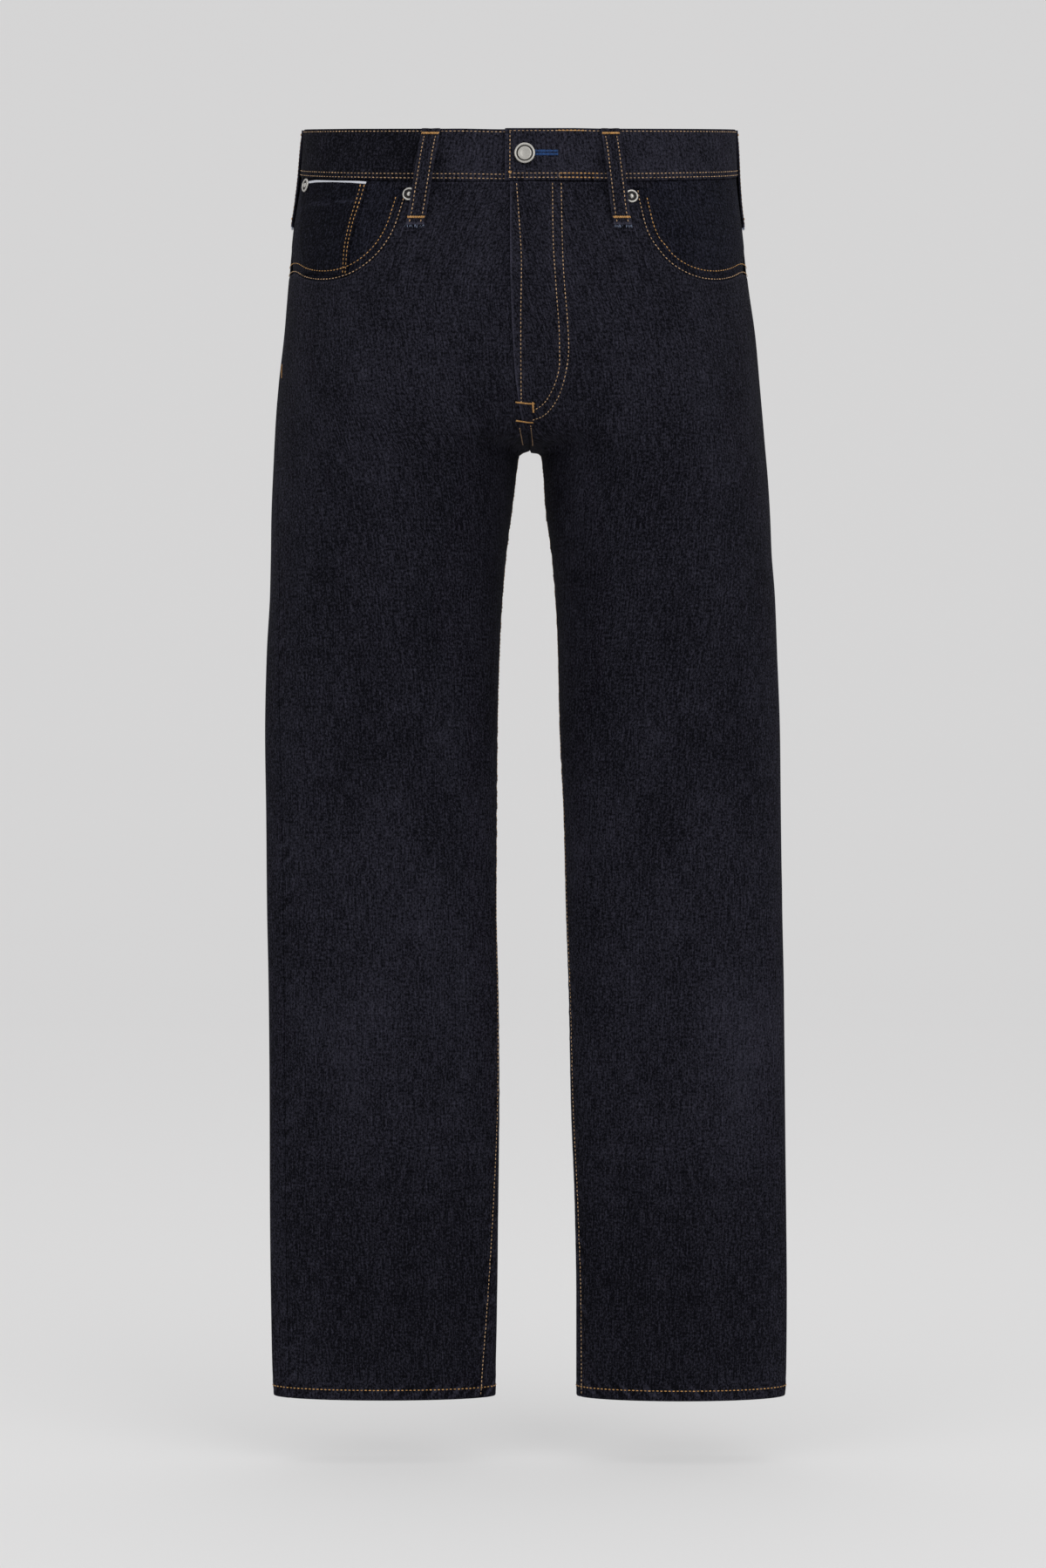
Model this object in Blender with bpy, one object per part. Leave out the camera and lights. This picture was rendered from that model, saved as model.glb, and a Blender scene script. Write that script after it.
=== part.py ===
"""Straight leg jeans, filled out and hollow as when worn.

Metres, +Z up, the front faces -Y and the wearer's left is +X. The origin is the middle of the
waist, level with the waistband's top at the sides. Every piece of cloth is a wall on one surface,
which is worked out from the level tables below: place(side, level, across) gives its points.
level counts the tables' rows, whole or part way, from the waist down to the hem. across is -1 at
the fly or inseam in front, 0 at the side seam and 1 at the centre back or inseam behind.
"""

from collections import namedtuple
from functools import lru_cache

import bmesh
import bpy
import numpy as np
from mathutils import Matrix, Vector

RIGHT, LEFT = -1, 1  # the wearer's sides, and the sign of x there

CLOTH = 0.0012  # one layer of heavy denim
SEAM = 0.0003  # gap between pieces
HEM_THICK = 0.0030
BAND_OUT, BAND_IN = 0.0012, 0.0014  # the waistband's two faces, from the surface
BAND_STEP = 0.0017  # how far each lapped end leaves the surface
BAND_OVER, BAND_UNDER = 0.0128, 0.0320  # how far each end passes the centre
FLY_STEP = 0.0017
FLY_WIDE = 0.0350
LOOP_WIDE, LOOP_THICK = 0.0155, 0.0022
FULL = 0.56  # length of a curve's handles, 0.55 for an ellipse

# Levels of the body, from the top edge. z_* are the heights at the centre front, the side and the
# centre back. right and left are the widest points, front and back the deepest. *_share places the
# deepest point between centre and side. turn is the way the section leaves the centre, in degrees.
Body = namedtuple(
    "Body",
    "z_front z_side z_back centre right left y_front y_back front back front_share back_share turn",
)
BODY = [
    Body(-0.0168, 0.0000, 0.0130, 0.0000, 0.1815, 0.1805, -0.0880, 0.0900, -0.0885, 0.0910, 0.30, 0.30, 0),
    Body(-0.0605, -0.0400, -0.0290, 0.0000, 0.1845, 0.1820, -0.0925, 0.0970, -0.0935, 0.0985, 0.32, 0.35, 0),
    Body(-0.1020, -0.0850, -0.0800, 0.0000, 0.1915, 0.1872, -0.0985, 0.1060, -0.1005, 0.1095, 0.34, 0.40, 0),
    Body(-0.1450, -0.1300, -0.1300, 0.0005, 0.1958, 0.1922, -0.1040, 0.1150, -0.1070, 0.1210, 0.36, 0.44, 0),
    Body(-0.1850, -0.1750, -0.1780, 0.0020, 0.1996, 0.1985, -0.1055, 0.1170, -0.1110, 0.1265, 0.39, 0.46, 0),
    Body(-0.2200, -0.2120, -0.2190, 0.0040, 0.2037, 0.2017, -0.1015, 0.1060, -0.1120, 0.1260, 0.42, 0.47, 6),
    Body(-0.2485, -0.2430, -0.2490, 0.0060, 0.2062, 0.2043, -0.0840, 0.0800, -0.1105, 0.1220, 0.44, 0.48, 20),
    Body(-0.2650, -0.2700, -0.2660, 0.0075, 0.2076, 0.2065, -0.0500, 0.0440, -0.1070, 0.1160, 0.46, 0.49, 44),
]

# Levels of the legs, from the crotch point down. Each leg has its own inner and outer edge and
# depth: the right one is the flatter. *_in_seam and *_out_seam are how far round to the front the
# inseam and the side seam lie, along the cloth.
Leg = namedtuple(
    "Leg",
    "z_in z_side y_in right_in right_out left_in left_out right_front right_back left_front left_back turn",
)
LEG = [
    Leg(-0.2710, -0.2970, 0.008, -0.0080, 0.2088, 0.0080, 0.2088, -0.1020, 0.1090, -0.1020, 0.1090, 68),
    Leg(-0.2740, -0.3130, 0.008, 0.0002, 0.2095, 0.0166, 0.2098, -0.0980, 0.1040, -0.0985, 0.1040, 79),
    Leg(-0.2880, -0.3320, 0.009, 0.0028, 0.2101, 0.0190, 0.2108, -0.0930, 0.0985, -0.0940, 0.0990, 86),
    Leg(-0.3180, -0.3580, 0.010, 0.0066, 0.2104, 0.0210, 0.2118, -0.0870, 0.0915, -0.0885, 0.0930, 90),
    Leg(-0.3650, -0.3940, 0.010, 0.0125, 0.2112, 0.0270, 0.2146, -0.0780, 0.0815, -0.0810, 0.0850, 90),
    Leg(-0.4300, -0.4450, 0.008, 0.0170, 0.2140, 0.0313, 0.2166, -0.0660, 0.0690, -0.0710, 0.0740, 90),
    Leg(-0.5050, -0.5100, 0.006, 0.0191, 0.2154, 0.0330, 0.2190, -0.0540, 0.0570, -0.0600, 0.0630, 90),
    Leg(-0.5800, -0.5800, 0.004, 0.0197, 0.2145, 0.0364, 0.2198, -0.0450, 0.0490, -0.0520, 0.0560, 90),
    Leg(-0.6550, -0.6550, 0.002, 0.0200, 0.2139, 0.0382, 0.2209, -0.0405, 0.0450, -0.0475, 0.0520, 90),
    Leg(-0.7350, -0.7350, 0.000, 0.0182, 0.2124, 0.0408, 0.2225, -0.0380, 0.0430, -0.0440, 0.0490, 90),
    Leg(-0.8200, -0.8200, 0.000, 0.0176, 0.2117, 0.0424, 0.2229, -0.0350, 0.0400, -0.0405, 0.0450, 90),
    Leg(-0.9050, -0.9050, 0.000, 0.0185, 0.2115, 0.0456, 0.2238, -0.0320, 0.0365, -0.0365, 0.0405, 90),
    Leg(-0.9850, -0.9850, 0.000, 0.0194, 0.2107, 0.0470, 0.2248, -0.0295, 0.0330, -0.0335, 0.0365, 90),
    Leg(-1.0450, -1.0450, 0.000, 0.0205, 0.2094, 0.0470, 0.2243, -0.0280, 0.0305, -0.0315, 0.0340, 90),
    Leg(-1.0670, -1.0670, 0.000, 0.0206, 0.2082, 0.0470, 0.2235, -0.0275, 0.0295, -0.0310, 0.0330, 90),
]

# How far round to the front each seam lies, along the cloth, at some heights of the side.
Turn = namedtuple("Turn", "z right_out right_in left_out left_in")
SEAM_TURN = [
    Turn(0.000, 0.000, 0.000, 0.000, 0.000),
    Turn(-0.130, 0.002, 0.000, 0.000, 0.000),
    Turn(-0.200, 0.018, 0.000, -0.004, 0.000),
    Turn(-0.300, 0.040, 0.000, -0.008, 0.000),
    Turn(-0.400, 0.038, 0.000, -0.008, 0.001),
    Turn(-0.600, 0.030, 0.001, -0.006, 0.004),
    Turn(-0.800, 0.026, 0.005, -0.004, 0.007),
    Turn(-0.950, 0.024, 0.011, -0.004, 0.009),
    Turn(-1.067, 0.023, 0.018, -0.004, 0.009),
]

CROTCH = len(BODY)
HEM = len(BODY) + len(LEG) - 1
WAIST_SEAM = 1
HIP_LINE = 4  # below the pockets and the yokes

# Half a pocket mouth, seen from the front: distance from the centre line on each side.
Mouth = namedtuple("Mouth", "z right left")
MOUTH = [
    Mouth(-0.0640, 0.0918, 0.0940),
    Mouth(-0.0850, 0.0965, 0.0975),
    Mouth(-0.1030, 0.1030, 0.1025),
    Mouth(-0.1175, 0.1125, 0.1115),
    Mouth(-0.1280, 0.1235, 0.1215),
    Mouth(-0.1355, 0.1365, 0.1345),
    Mouth(-0.1390, 0.1500, 0.1480),
    Mouth(-0.1385, 0.1650, 0.1620),
    Mouth(-0.1340, 0.1780, 0.1750),
    Mouth(-0.1270, 0.1870, 0.1845),
]
MOUTH_TOP = {RIGHT: 0.0912, LEFT: 0.0935}  # where the mouth meets the waist seam
MOUTH_END = 2.90  # level of the mouth's end on the side seam
POCKET_UNDER = 0.016  # how far the facing goes on under the front
POCKET_DEEP = 0.0036

# A belt loop's inner face above the surface, along its length.
Arch = namedtuple("Arch", "along gap")
ARCH = [
    Arch(0.00, 0.0020),
    Arch(0.07, 0.0022),
    Arch(0.16, 0.0052),
    Arch(0.28, 0.0070),
    Arch(0.42, 0.0074),
    Arch(0.56, 0.0070),
    Arch(0.68, 0.0052),
    Arch(0.79, 0.0022),
    Arch(0.88, 0.0011),
    Arch(1.00, 0.0011),
]


def smooth(value):
    t = np.clip(value, 0.0, 1.0)
    return t * t * (3 - 2 * t)


def slopes(values):
    """Slopes that keep a curve through evenly spaced values from overshooting."""
    steps = np.diff(values, axis=0)
    before, after = steps[:-1], steps[1:]
    same = before * after > 0
    middle = np.where(same, 2 * before * after / np.where(same, before + after, 1.0), 0.0)
    return np.vstack([steps[:1], middle, steps[-1:]])


@lru_cache(None)
def table(side):
    """One row a level: z front, side, back; x centre, outer; y front and back; depths; shares; turn."""
    rows = []
    for b in BODY:
        outer = b.right if side == RIGHT else b.left
        rows.append(
            [b.z_front, b.z_side, b.z_back, b.centre, outer * side, b.y_front, b.y_back]
            + [b.front, b.back, b.front_share, b.back_share, b.turn]
        )
    for g in LEG:
        inner, outer, front, back = (
            (g.right_in, g.right_out, g.right_front, g.right_back)
            if side == RIGHT
            else (g.left_in, g.left_out, g.left_front, g.left_back)
        )
        heights = [g.z_in, g.z_side, g.z_in]
        rows.append([*heights, inner * side, outer * side, g.y_in, g.y_in, front, back, 0.5, 0.5, g.turn])
    rows = np.array(rows, float)
    heights = [t.z for t in SEAM_TURN][::-1]
    outs = [t.right_out if side == RIGHT else t.left_out for t in SEAM_TURN][::-1]
    ins = [t.right_in if side == RIGHT else t.left_in for t in SEAM_TURN][::-1]
    seams = np.column_stack([np.interp(rows[:, 1], heights, outs), np.interp(rows[:, 1], heights, ins)])
    rows = np.hstack([rows, seams])
    leave, reach = slopes(rows), slopes(rows)
    reach[CROTCH, 3] = 0.0005
    leave[CROTCH, 3] = 2 * (rows[CROTCH + 1, 3] - rows[CROTCH, 3])
    return rows, leave, reach


def row_at(side, level):
    rows, leave, reach = table(side)
    i = int(min(max(np.floor(level), 0), len(rows) - 2))
    t = level - i
    return (
        (2 * t**3 - 3 * t**2 + 1) * rows[i]
        + (t**3 - 2 * t**2 + t) * leave[i]
        + (3 * t**2 - 2 * t**3) * rows[i + 1]
        + (t**3 - t**2) * reach[i + 1]
    )


def arc(start, start_way, end, end_way, count=14):
    """A curve in plan between two points, with a handle along each way."""
    t = np.linspace(0, 1, count)[:, None]
    p0, p3 = np.array(start), np.array(end)
    p1, p2 = p0 + np.array(start_way), p3 + np.array(end_way)
    return (1 - t) ** 3 * p0 + 3 * (1 - t) ** 2 * t * p1 + 3 * (1 - t) * t**2 * p2 + t**3 * p3


@lru_cache(None)
def section(side, level):
    """The whole line round at a level: distances along it and its points, with what carries on past each end."""
    zf, zs, zb, cx, ox, ycf, ycb, yf, yb, sf, sb, turn, out_seam, in_seam = row_at(side, level)
    lean = np.radians(turn)
    wide = ox - cx
    mid_y = (yf + yb) / 2
    halves = []
    for y0, deep, share, zc in ((ycf, yf, sf, zf), (ycb, yb, sb, zb)):
        near = (cx + share * wide, deep)
        reach = FULL * (abs(share * wide) * np.cos(lean) + abs(deep - y0) * np.sin(lean))
        way = (np.sign(wide) * reach * np.cos(lean), np.sign(deep - y0) * reach * np.sin(lean))
        first = arc((cx, y0), way, near, (-FULL * share * wide, 0))
        last = arc(near, (FULL * (1 - share) * wide, 0), (ox, mid_y), (0, FULL * (deep - mid_y)), 18)
        plan = np.vstack([first, last[1:]])
        run = np.concatenate([[0], np.cumsum(np.linalg.norm(np.diff(plan, axis=0), axis=1))])
        level_tilt = (plan[:, 1] - mid_y) / (y0 - mid_y)
        round_tilt = 1 - smooth(run / run[-1])
        blend = smooth((level - HIP_LINE) / 2)
        z = zs + (zc - zs) * ((1 - blend) * level_tilt + blend * round_tilt)
        halves.append(np.column_stack([plan, z]))
    front, back = halves[0], halves[1][::-1]
    line = np.vstack([front, back[1:]])
    if level < CROTCH:
        before, after = front[:0:-1].copy(), back[-2::-1].copy()
        before[:, 0] = 2 * cx - before[:, 0]
        after[:, 0] = 2 * cx - after[:, 0]
    else:
        before, after = back[:-1], front[1:]
    whole = np.vstack([before, line, after])
    run = np.concatenate([[0], np.cumsum(np.linalg.norm(np.diff(whole, axis=0), axis=1))])
    run -= run[len(before)]
    front_long = run[len(before) + len(front) - 1]
    all_long = run[len(before) + len(line) - 1]
    return run, whole, (in_seam, front_long - out_seam, all_long + in_seam)


def long_of(side, level, across):
    """Length of the front or the back panel along a level."""
    marks = section(side, level)[2]
    return marks[1] - marks[0] if across <= 0 else marks[2] - marks[1]


def place(side, level, across):
    level = round(float(min(max(level, 0), HEM)), 7)
    run, whole, (start, middle, end) = section(side, level)
    at = middle + across * ((middle - start) if across <= 0 else (end - middle))
    return np.array([np.interp(at, run, whole[:, i]) for i in range(3)])


def normal(side, level, across):
    step = 0.004
    if level < CROTCH and abs(across) > 1 - step:
        around = np.array([float(side), 0.0, 0.0]) * (1 if across < 0 else -1)
    else:
        around = place(side, level, across + step) - place(side, level, across - step)
    down = place(side, level + 0.05, across) - place(side, level - 0.05, across)
    out = np.cross(down, around) * side
    return out / np.linalg.norm(out)


def lifted(side, level, across, lift):
    return place(side, level, across) + normal(side, level, across) * lift


def locate(side, x, z, across=-0.5, level=2.0):
    """(level, across) of the point of the surface at this distance from the centre and height."""
    for _ in range(12):
        here = place(side, level, across)
        by_level = (place(side, level + 0.02, across) - here) / 0.02
        by_across = (place(side, level, across + 0.004) - here) / 0.004
        slope = np.array([[by_level[0], by_across[0]], [by_level[2], by_across[2]]])
        d_level, d_across = np.linalg.solve(slope, [side * x - here[0], z - here[2]])
        level = float(np.clip(level + np.clip(d_level, -0.6, 0.6), 0.0, HEM))
        across = float(np.clip(across + np.clip(d_across, -0.2, 0.2), -1.3, 1.3))
    return level, across


def material(name, colour, rough, metal=0.0):
    made = bpy.data.materials.get(name)
    if made:
        return made
    made = bpy.data.materials.new(name)
    made.use_nodes = True
    shader = made.node_tree.nodes["Principled BSDF"]
    shader.inputs["Base Color"].default_value = (*colour, 1.0)
    shader.inputs["Roughness"].default_value = rough
    shader.inputs["Metallic"].default_value = metal
    return made


def finish(name, bm, look, rounded=True):
    bmesh.ops.recalc_face_normals(bm, faces=bm.faces[:])
    mesh = bpy.data.meshes.new(name)
    bm.to_mesh(mesh)
    bm.free()
    for face in mesh.polygons:
        face.use_smooth = rounded
    made = bpy.data.objects.new(name, mesh)
    made.data.materials.append(look)
    bpy.context.scene.collection.objects.link(made)
    return made


def wall(name, outer, inner, look):
    """A closed sheet between two grids of points with the same rows and columns."""
    rows, columns = len(outer), len(outer[0])
    bm = bmesh.new()
    faces = [[[bm.verts.new(point) for point in row] for row in grid] for grid in (outer, inner)]
    for i in range(rows - 1):
        for j in range(columns - 1):
            for grid in faces:
                bm.faces.new((grid[i][j], grid[i][j + 1], grid[i + 1][j + 1], grid[i + 1][j]))
    rim = [(0, j) for j in range(columns)] + [(i, columns - 1) for i in range(1, rows)]
    rim += [(rows - 1, j) for j in range(columns - 2, -1, -1)] + [(i, 0) for i in range(rows - 2, 0, -1)]
    for (i, j), (k, m) in zip(rim, rim[1:] + rim[:1]):
        bm.faces.new((faces[0][i][j], faces[0][k][m], faces[1][k][m], faces[1][i][j]))
    return finish(name, bm, look)


def panel(name, side, spots, look, lift=lambda level, across: 0.0, thick=lambda level: CLOTH):
    """A wall over a grid of (level, across) spots."""
    outer = [[lifted(side, v, s, lift(v, s)) for v, s in row] for row in spots]
    inner = [[lifted(side, v, s, lift(v, s) - thick(v)) for v, s in row] for row in spots]
    return wall(name, outer, inner, look)


def gap_of(side, level, across):
    return SEAM / 2 / long_of(side, level, across)


def between(first, last, count):
    return [tuple(p) for p in np.linspace(first, last, count)]


RISE_LEVELS = (4, 5, 5.75, 6.5)
FLY_FOOT = 6.6
LEG_LEVELS = (7, 7.5, 8, 8.5, 9, 9.5, 10, 11, 12, 13, 15, 17, 19, 21, HEM - 0.47, HEM - 0.405, HEM)


def spread(points, count):
    """count spots evenly along a line of (level, across) spots, measured on the right side's cloth."""
    here = np.array([place(RIGHT, v, s) for v, s in points])
    run = np.concatenate([[0], np.cumsum(np.linalg.norm(np.diff(here, axis=0), axis=1))])
    at = np.linspace(0, run[-1], count)
    spots = np.array(points)
    return [(np.interp(t, run, spots[:, 0]), np.interp(t, run, spots[:, 1])) for t in at]


@lru_cache(None)
def mouth(side):
    """The pocket mouth as (level, across) spots, from the waist seam to the side seam."""
    top = locate(side, MOUTH_TOP[side], -0.052)
    spots = [(WAIST_SEAM, top[1])]
    for m in MOUTH:
        spots.append(locate(side, m.right if side == RIGHT else m.left, m.z))
    spots = [(v, s) for v, s in spots if s < -0.02]
    spots.append((MOUTH_END, 0.0))
    return spots


def fly_lap(side, level):
    """How far past the centre the front reaches: the left one laps over, the right one stops short."""
    if side == RIGHT or level >= FLY_FOOT:
        return -SEAM / 2
    return 0.0085 if level < 5 else 0.0085 - 0.0030 * (level - 5) / 1.6


def fly_lift(side, level, across):
    """The left front rises over the right one along the fly."""
    if side == RIGHT:
        return 0.0
    from_centre = (across + 1) * long_of(side, min(level, HEM), across)
    fade = smooth((CROTCH + 1.0 - level) / 1.6)
    return FLY_STEP * smooth((FLY_WIDE + 0.012 - from_centre) / FLY_WIDE) * fade


def eased(count):
    """Shares of a panel's width, closer together at its two edges, where the cloth turns most."""
    t = np.linspace(0, 1, count)
    return t - 0.5 * np.sin(2 * np.pi * t) / (2 * np.pi)


def panel_thick(level):
    return HEM_THICK if level > HEM - 0.44 else CLOTH


def front(side, look):
    columns_waist, columns_mouth = 6, 9
    columns = columns_waist + columns_mouth - 1
    curve = mouth(side)
    start = -1 - fly_lap(side, 1.0) / long_of(side, 1.0, -1)
    top_level = WAIST_SEAM + 0.004
    waist = between((top_level, start), (top_level, curve[0][1]), columns_waist)
    corners = [(top_level, curve[0][1])] + curve[1:-1] + [(MOUTH_END, -gap_of(side, 3, -1))]
    edge = spread(corners, columns_mouth)
    top = waist + edge[1:]
    share = eased(columns)

    def line(level):
        first = -1 - fly_lap(side, level) / long_of(side, level, -1)
        last = -gap_of(side, level, -1)
        return [(level, first + (last - first) * t) for t in share]

    low = line(HIP_LINE)
    rows = []
    for t in (0, 1 / 3, 2 / 3):
        rows.append([tuple((1 - t) * np.array(a) + t * np.array(b)) for a, b in zip(top, low)])
    rows += [line(level) for level in (*RISE_LEVELS, FLY_FOOT, *LEG_LEVELS)]
    name = "front_right" if side == RIGHT else "front_left"
    return panel(name, side, rows, look, lambda v, s: fly_lift(side, v, s), panel_thick)


def yoke_level(across):
    return 1.80 + 0.55 * across


def back(side, look):
    columns = 14

    def line(level_of):
        spots = []
        for t in eased(columns):
            level = level_of(t)
            edge = gap_of(side, level, 1)
            spots.append((level, edge + (1 - 2 * edge) * t))
        return spots

    rows = []
    seam_levels = [yoke_level(0) + 0.004, 2.35] + [MOUTH_END + (HIP_LINE - MOUTH_END) * k / 3 for k in range(3)]
    for side_level in seam_levels:
        t = (side_level - seam_levels[0]) / (HIP_LINE - seam_levels[0])
        rows.append(line(lambda s, t=t: (yoke_level(s) + 0.004) * (1 - t) + HIP_LINE * t))
    rows += [line(lambda s, level=level: level) for level in (*RISE_LEVELS, *LEG_LEVELS)]
    name = "back_right" if side == RIGHT else "back_left"
    return panel(name, side, rows, look, thick=panel_thick)


def yoke(side, look):
    rows = []
    for t in (0, 0.33, 0.67, 1):
        spots = []
        for s in np.linspace(0, 1, 11):
            edge = gap_of(side, 1.5, 1)
            level = (WAIST_SEAM + 0.004) * (1 - t) + (yoke_level(s) - 0.004) * t
            spots.append((level, edge + (1 - 2 * edge) * s))
        rows.append(spots)
    return panel("yoke_right" if side == RIGHT else "yoke_left", side, rows, look)


def beyond(side, spot, toward, distance):
    """The spot a distance on from one spot, along the line that comes from another."""
    here, there = place(side, *spot), place(side, *toward)
    step = distance / max(np.linalg.norm(here - there), 1e-6)
    return tuple(np.array(spot) + (np.array(spot) - np.array(toward)) * step)


@lru_cache(None)
def mouth_line(side):
    return np.array([place(side, *spot) for spot in spread(mouth(side), 60)])


def sunk(side, level, across):
    """How deep the cloth behind a pocket mouth lies: deepest under the front, level with it further in."""
    here, line = place(side, level, across), mouth_line(side)
    gaps = np.linalg.norm(line - here, axis=1)
    near = line[np.argmin(gaps)]
    middle = np.array([side * 0.165, here[1], -0.075])
    if np.dot((here - near)[[0, 2]], (near - middle)[[0, 2]]) > 0:
        return POCKET_DEEP
    return POCKET_DEEP * (1 - smooth(gaps.min() / 0.028))


def facing(side, look):
    """The hip piece behind a pocket mouth: it lies deep under the front and comes level at the side."""
    count, corner = 17, 0.62
    curve = spread(mouth(side), count)
    centre = np.array([2.05, -0.20])
    rows = [[] for _ in range(7)]
    for k, spot in enumerate(curve):
        t = k / (count - 1)
        first = (WAIST_SEAM, curve[0][1] * (1 - min(t / corner, 1)))
        if t > corner:
            first = (WAIST_SEAM + (MOUTH_END - WAIST_SEAM) * (t - corner) / (1 - corner), 0.0)
        inward = centre + (np.array(spot) - centre) * 0.55
        last = beyond(side, spot, tuple(inward), POCKET_UNDER)
        line = between(first, spot, len(rows) - 1) + [last]
        for row, (level, across) in zip(rows, line):
            row.append((max(level, WAIST_SEAM + 0.004), min(across, -gap_of(side, 2, -1))))
    name = "facing_right" if side == RIGHT else "facing_left"
    return panel(name, side, rows, look, lambda v, s: -sunk(side, v, s))


def band_shift(side, from_centre):
    if side == LEFT:
        return BAND_STEP * smooth((0.075 - from_centre) / 0.035)
    return -BAND_STEP * smooth((0.050 - from_centre) / 0.035)


def waistband(look):
    columns = []
    for side, past, ways in ((RIGHT, BAND_UNDER, 1), (LEFT, BAND_OVER, -1)):
        length = long_of(side, 0.5, -1)
        front_half = np.linspace(-1 - past / length, 0, 17)
        back_half = np.linspace(0, 1, 13)[1:]
        line = [(side, s, band_shift(side, (s + 1) * length)) for s in (*front_half, *back_half)]
        columns += line if ways == 1 else line[-2::-1]
    levels = (0, 0.33, 0.67, WAIST_SEAM - 0.004)
    outer = [[lifted(side, v, s, shift + BAND_OUT) for side, s, shift in columns] for v in levels]
    inner = [[lifted(side, v, s, shift - BAND_IN) for side, s, shift in columns] for v in levels]
    return wall("waistband", outer, inner, look)


# The coin pocket's rows: its inner edge from the centre, and its height there and at the side.
Coin = namedtuple("Coin", "inner z_inner z_side")
COIN = [
    Coin(0.1235, -0.0580, -0.0475),
    Coin(0.1280, -0.0740, -0.0650),
    Coin(0.1335, -0.0900, -0.0820),
    Coin(0.1375, -0.1060, -0.0990),
    Coin(0.1405, -0.1220, -0.1150),
    Coin(0.1430, -0.1370, -0.1290),
]
COIN_OUTER = 0.1820
COIN_THICK = 0.0010


def coin_pocket(look):
    """On the right facing: from the side seam to a slanted inner edge, its top just under the waistband."""
    rows = []
    for c in COIN:
        row = []
        for u in np.linspace(0, 1, 8):
            x = c.inner + (COIN_OUTER - c.inner) * u
            level, across = locate(RIGHT, x, c.z_inner + (c.z_side - c.z_inner) * u)
            row.append((max(level, WAIST_SEAM + 0.015), across))
        rows.append(row)
    lift = lambda v, s: 0.0008 + COIN_THICK - sunk(RIGHT, v, s)
    return panel("coin_pocket", RIGHT, rows, look, lift, lambda level: COIN_THICK)


def back_pocket(side, look):
    """A plain patch with a pointed foot."""
    top_level, foot_level = 2.62, 5.35
    rows = []
    for t in np.linspace(0, 1, 6):
        row = []
        for u in np.linspace(-1, 1, 9):
            half = 0.0780 - 0.0080 * t
            foot = foot_level - 0.45 * abs(u)
            level = top_level + 0.18 * (1 + u) / 2 + (foot - top_level) * t
            row.append((level, 0.50 + u * half / long_of(side, level, 1)))
        rows.append(row)
    name = "back_pocket_right" if side == RIGHT else "back_pocket_left"
    return panel(name, side, rows, look, lambda v, s: 0.0009 + CLOTH)


def belt_loop(name, side, top, foot, look):
    """An arched strip between two (level, across) spots."""
    outer, inner = [], []
    for a in ARCH:
        level = top[0] + (foot[0] - top[0]) * a.along
        across = top[1] + (foot[1] - top[1]) * a.along
        half = LOOP_WIDE / 2 / long_of(side, level, across)
        spots = [(level, across + half * u) for u in (-1, -0.33, 0.33, 1)]
        middle = normal(side, level, across)
        outer.append([place(side, v, s) + middle * (a.gap + LOOP_THICK) for v, s in spots])
        inner.append([place(side, v, s) + middle * a.gap for v, s in spots])
    return wall(name, outer, inner, look)


def strip(name, levels, x_from, x_to, lift_from, lift_to, look, columns=4):
    """A strip behind the fly, on the left side's surface carried past the centre."""
    spots = []
    for level in levels:
        length = long_of(LEFT, level, -1)
        spots.append([(level, -1 + x / length) for x in np.linspace(x_from, x_to, columns)])
    outer = [[lifted(LEFT, v, s, lift_to) for v, s in row] for row in spots]
    inner = [[lifted(LEFT, v, s, lift_from) for v, s in row] for row in spots]
    return wall(name, outer, inner, look)


def lathe(name, spot, out, profile, look, steps=20):
    """Turns a profile of (radius, height) points about a line that leaves a spot."""
    bm = bmesh.new()
    points = [bm.verts.new((radius, 0, height)) for radius, height in profile]
    edges = [bm.edges.new(pair) for pair in zip(points, points[1:])]
    bmesh.ops.spin(
        bm, geom=points + edges, cent=(0, 0, 0), axis=(0, 0, 1), dvec=(0, 0, 0), angle=2 * np.pi, steps=steps
    )
    bmesh.ops.remove_doubles(bm, verts=bm.verts[:], dist=0.00002)
    turn = Vector((0, 0, 1)).rotation_difference(Vector(out)).to_matrix().to_4x4()
    bmesh.ops.transform(bm, matrix=Matrix.Translation(Vector(spot)) @ turn, verts=bm.verts[:])
    return finish(name, bm, look)


def drill(cloth, spot, out, radius, deep):
    """A round hole through a cloth piece."""
    profile = [(0, -deep), (radius, -deep), (radius, deep), (0, deep)]
    name = f"cutter_{cloth.name}_{len(cloth.modifiers)}"
    cutter = lathe(name, spot, out, profile, cloth.data.materials[0], 16)
    cutter.hide_render = True
    cutter.display_type = "WIRE"
    cut = cloth.modifiers.new("hole", "BOOLEAN")
    cut.operation = "DIFFERENCE"
    cut.solver = "EXACT"
    cut.object = cutter


def fastener(name, spot, out, head, post, foot, look):
    """A pressed head, a post through the cloth and a small foot behind it. Sizes are (radius, from, to)."""
    lip = 0.25 * (head[2] - head[1])
    profile = [
        (0, foot[1]),
        (foot[0], foot[1]),
        (foot[0], foot[2]),
        (post, foot[2]),
        (post, head[1]),
        (head[0], head[1]),
        (head[0], head[2] - lip),
        (head[0] * 0.93, head[2]),
        (head[0] * 0.66, head[2]),
        (head[0] * 0.58, head[2] - lip),
        (head[0] * 0.48, head[2] - lip),
        (head[0] * 0.40, head[2] - 0.2 * lip),
        (0, head[2] - 0.2 * lip),
    ]
    return lathe(name, spot, out, profile, look)


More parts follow.
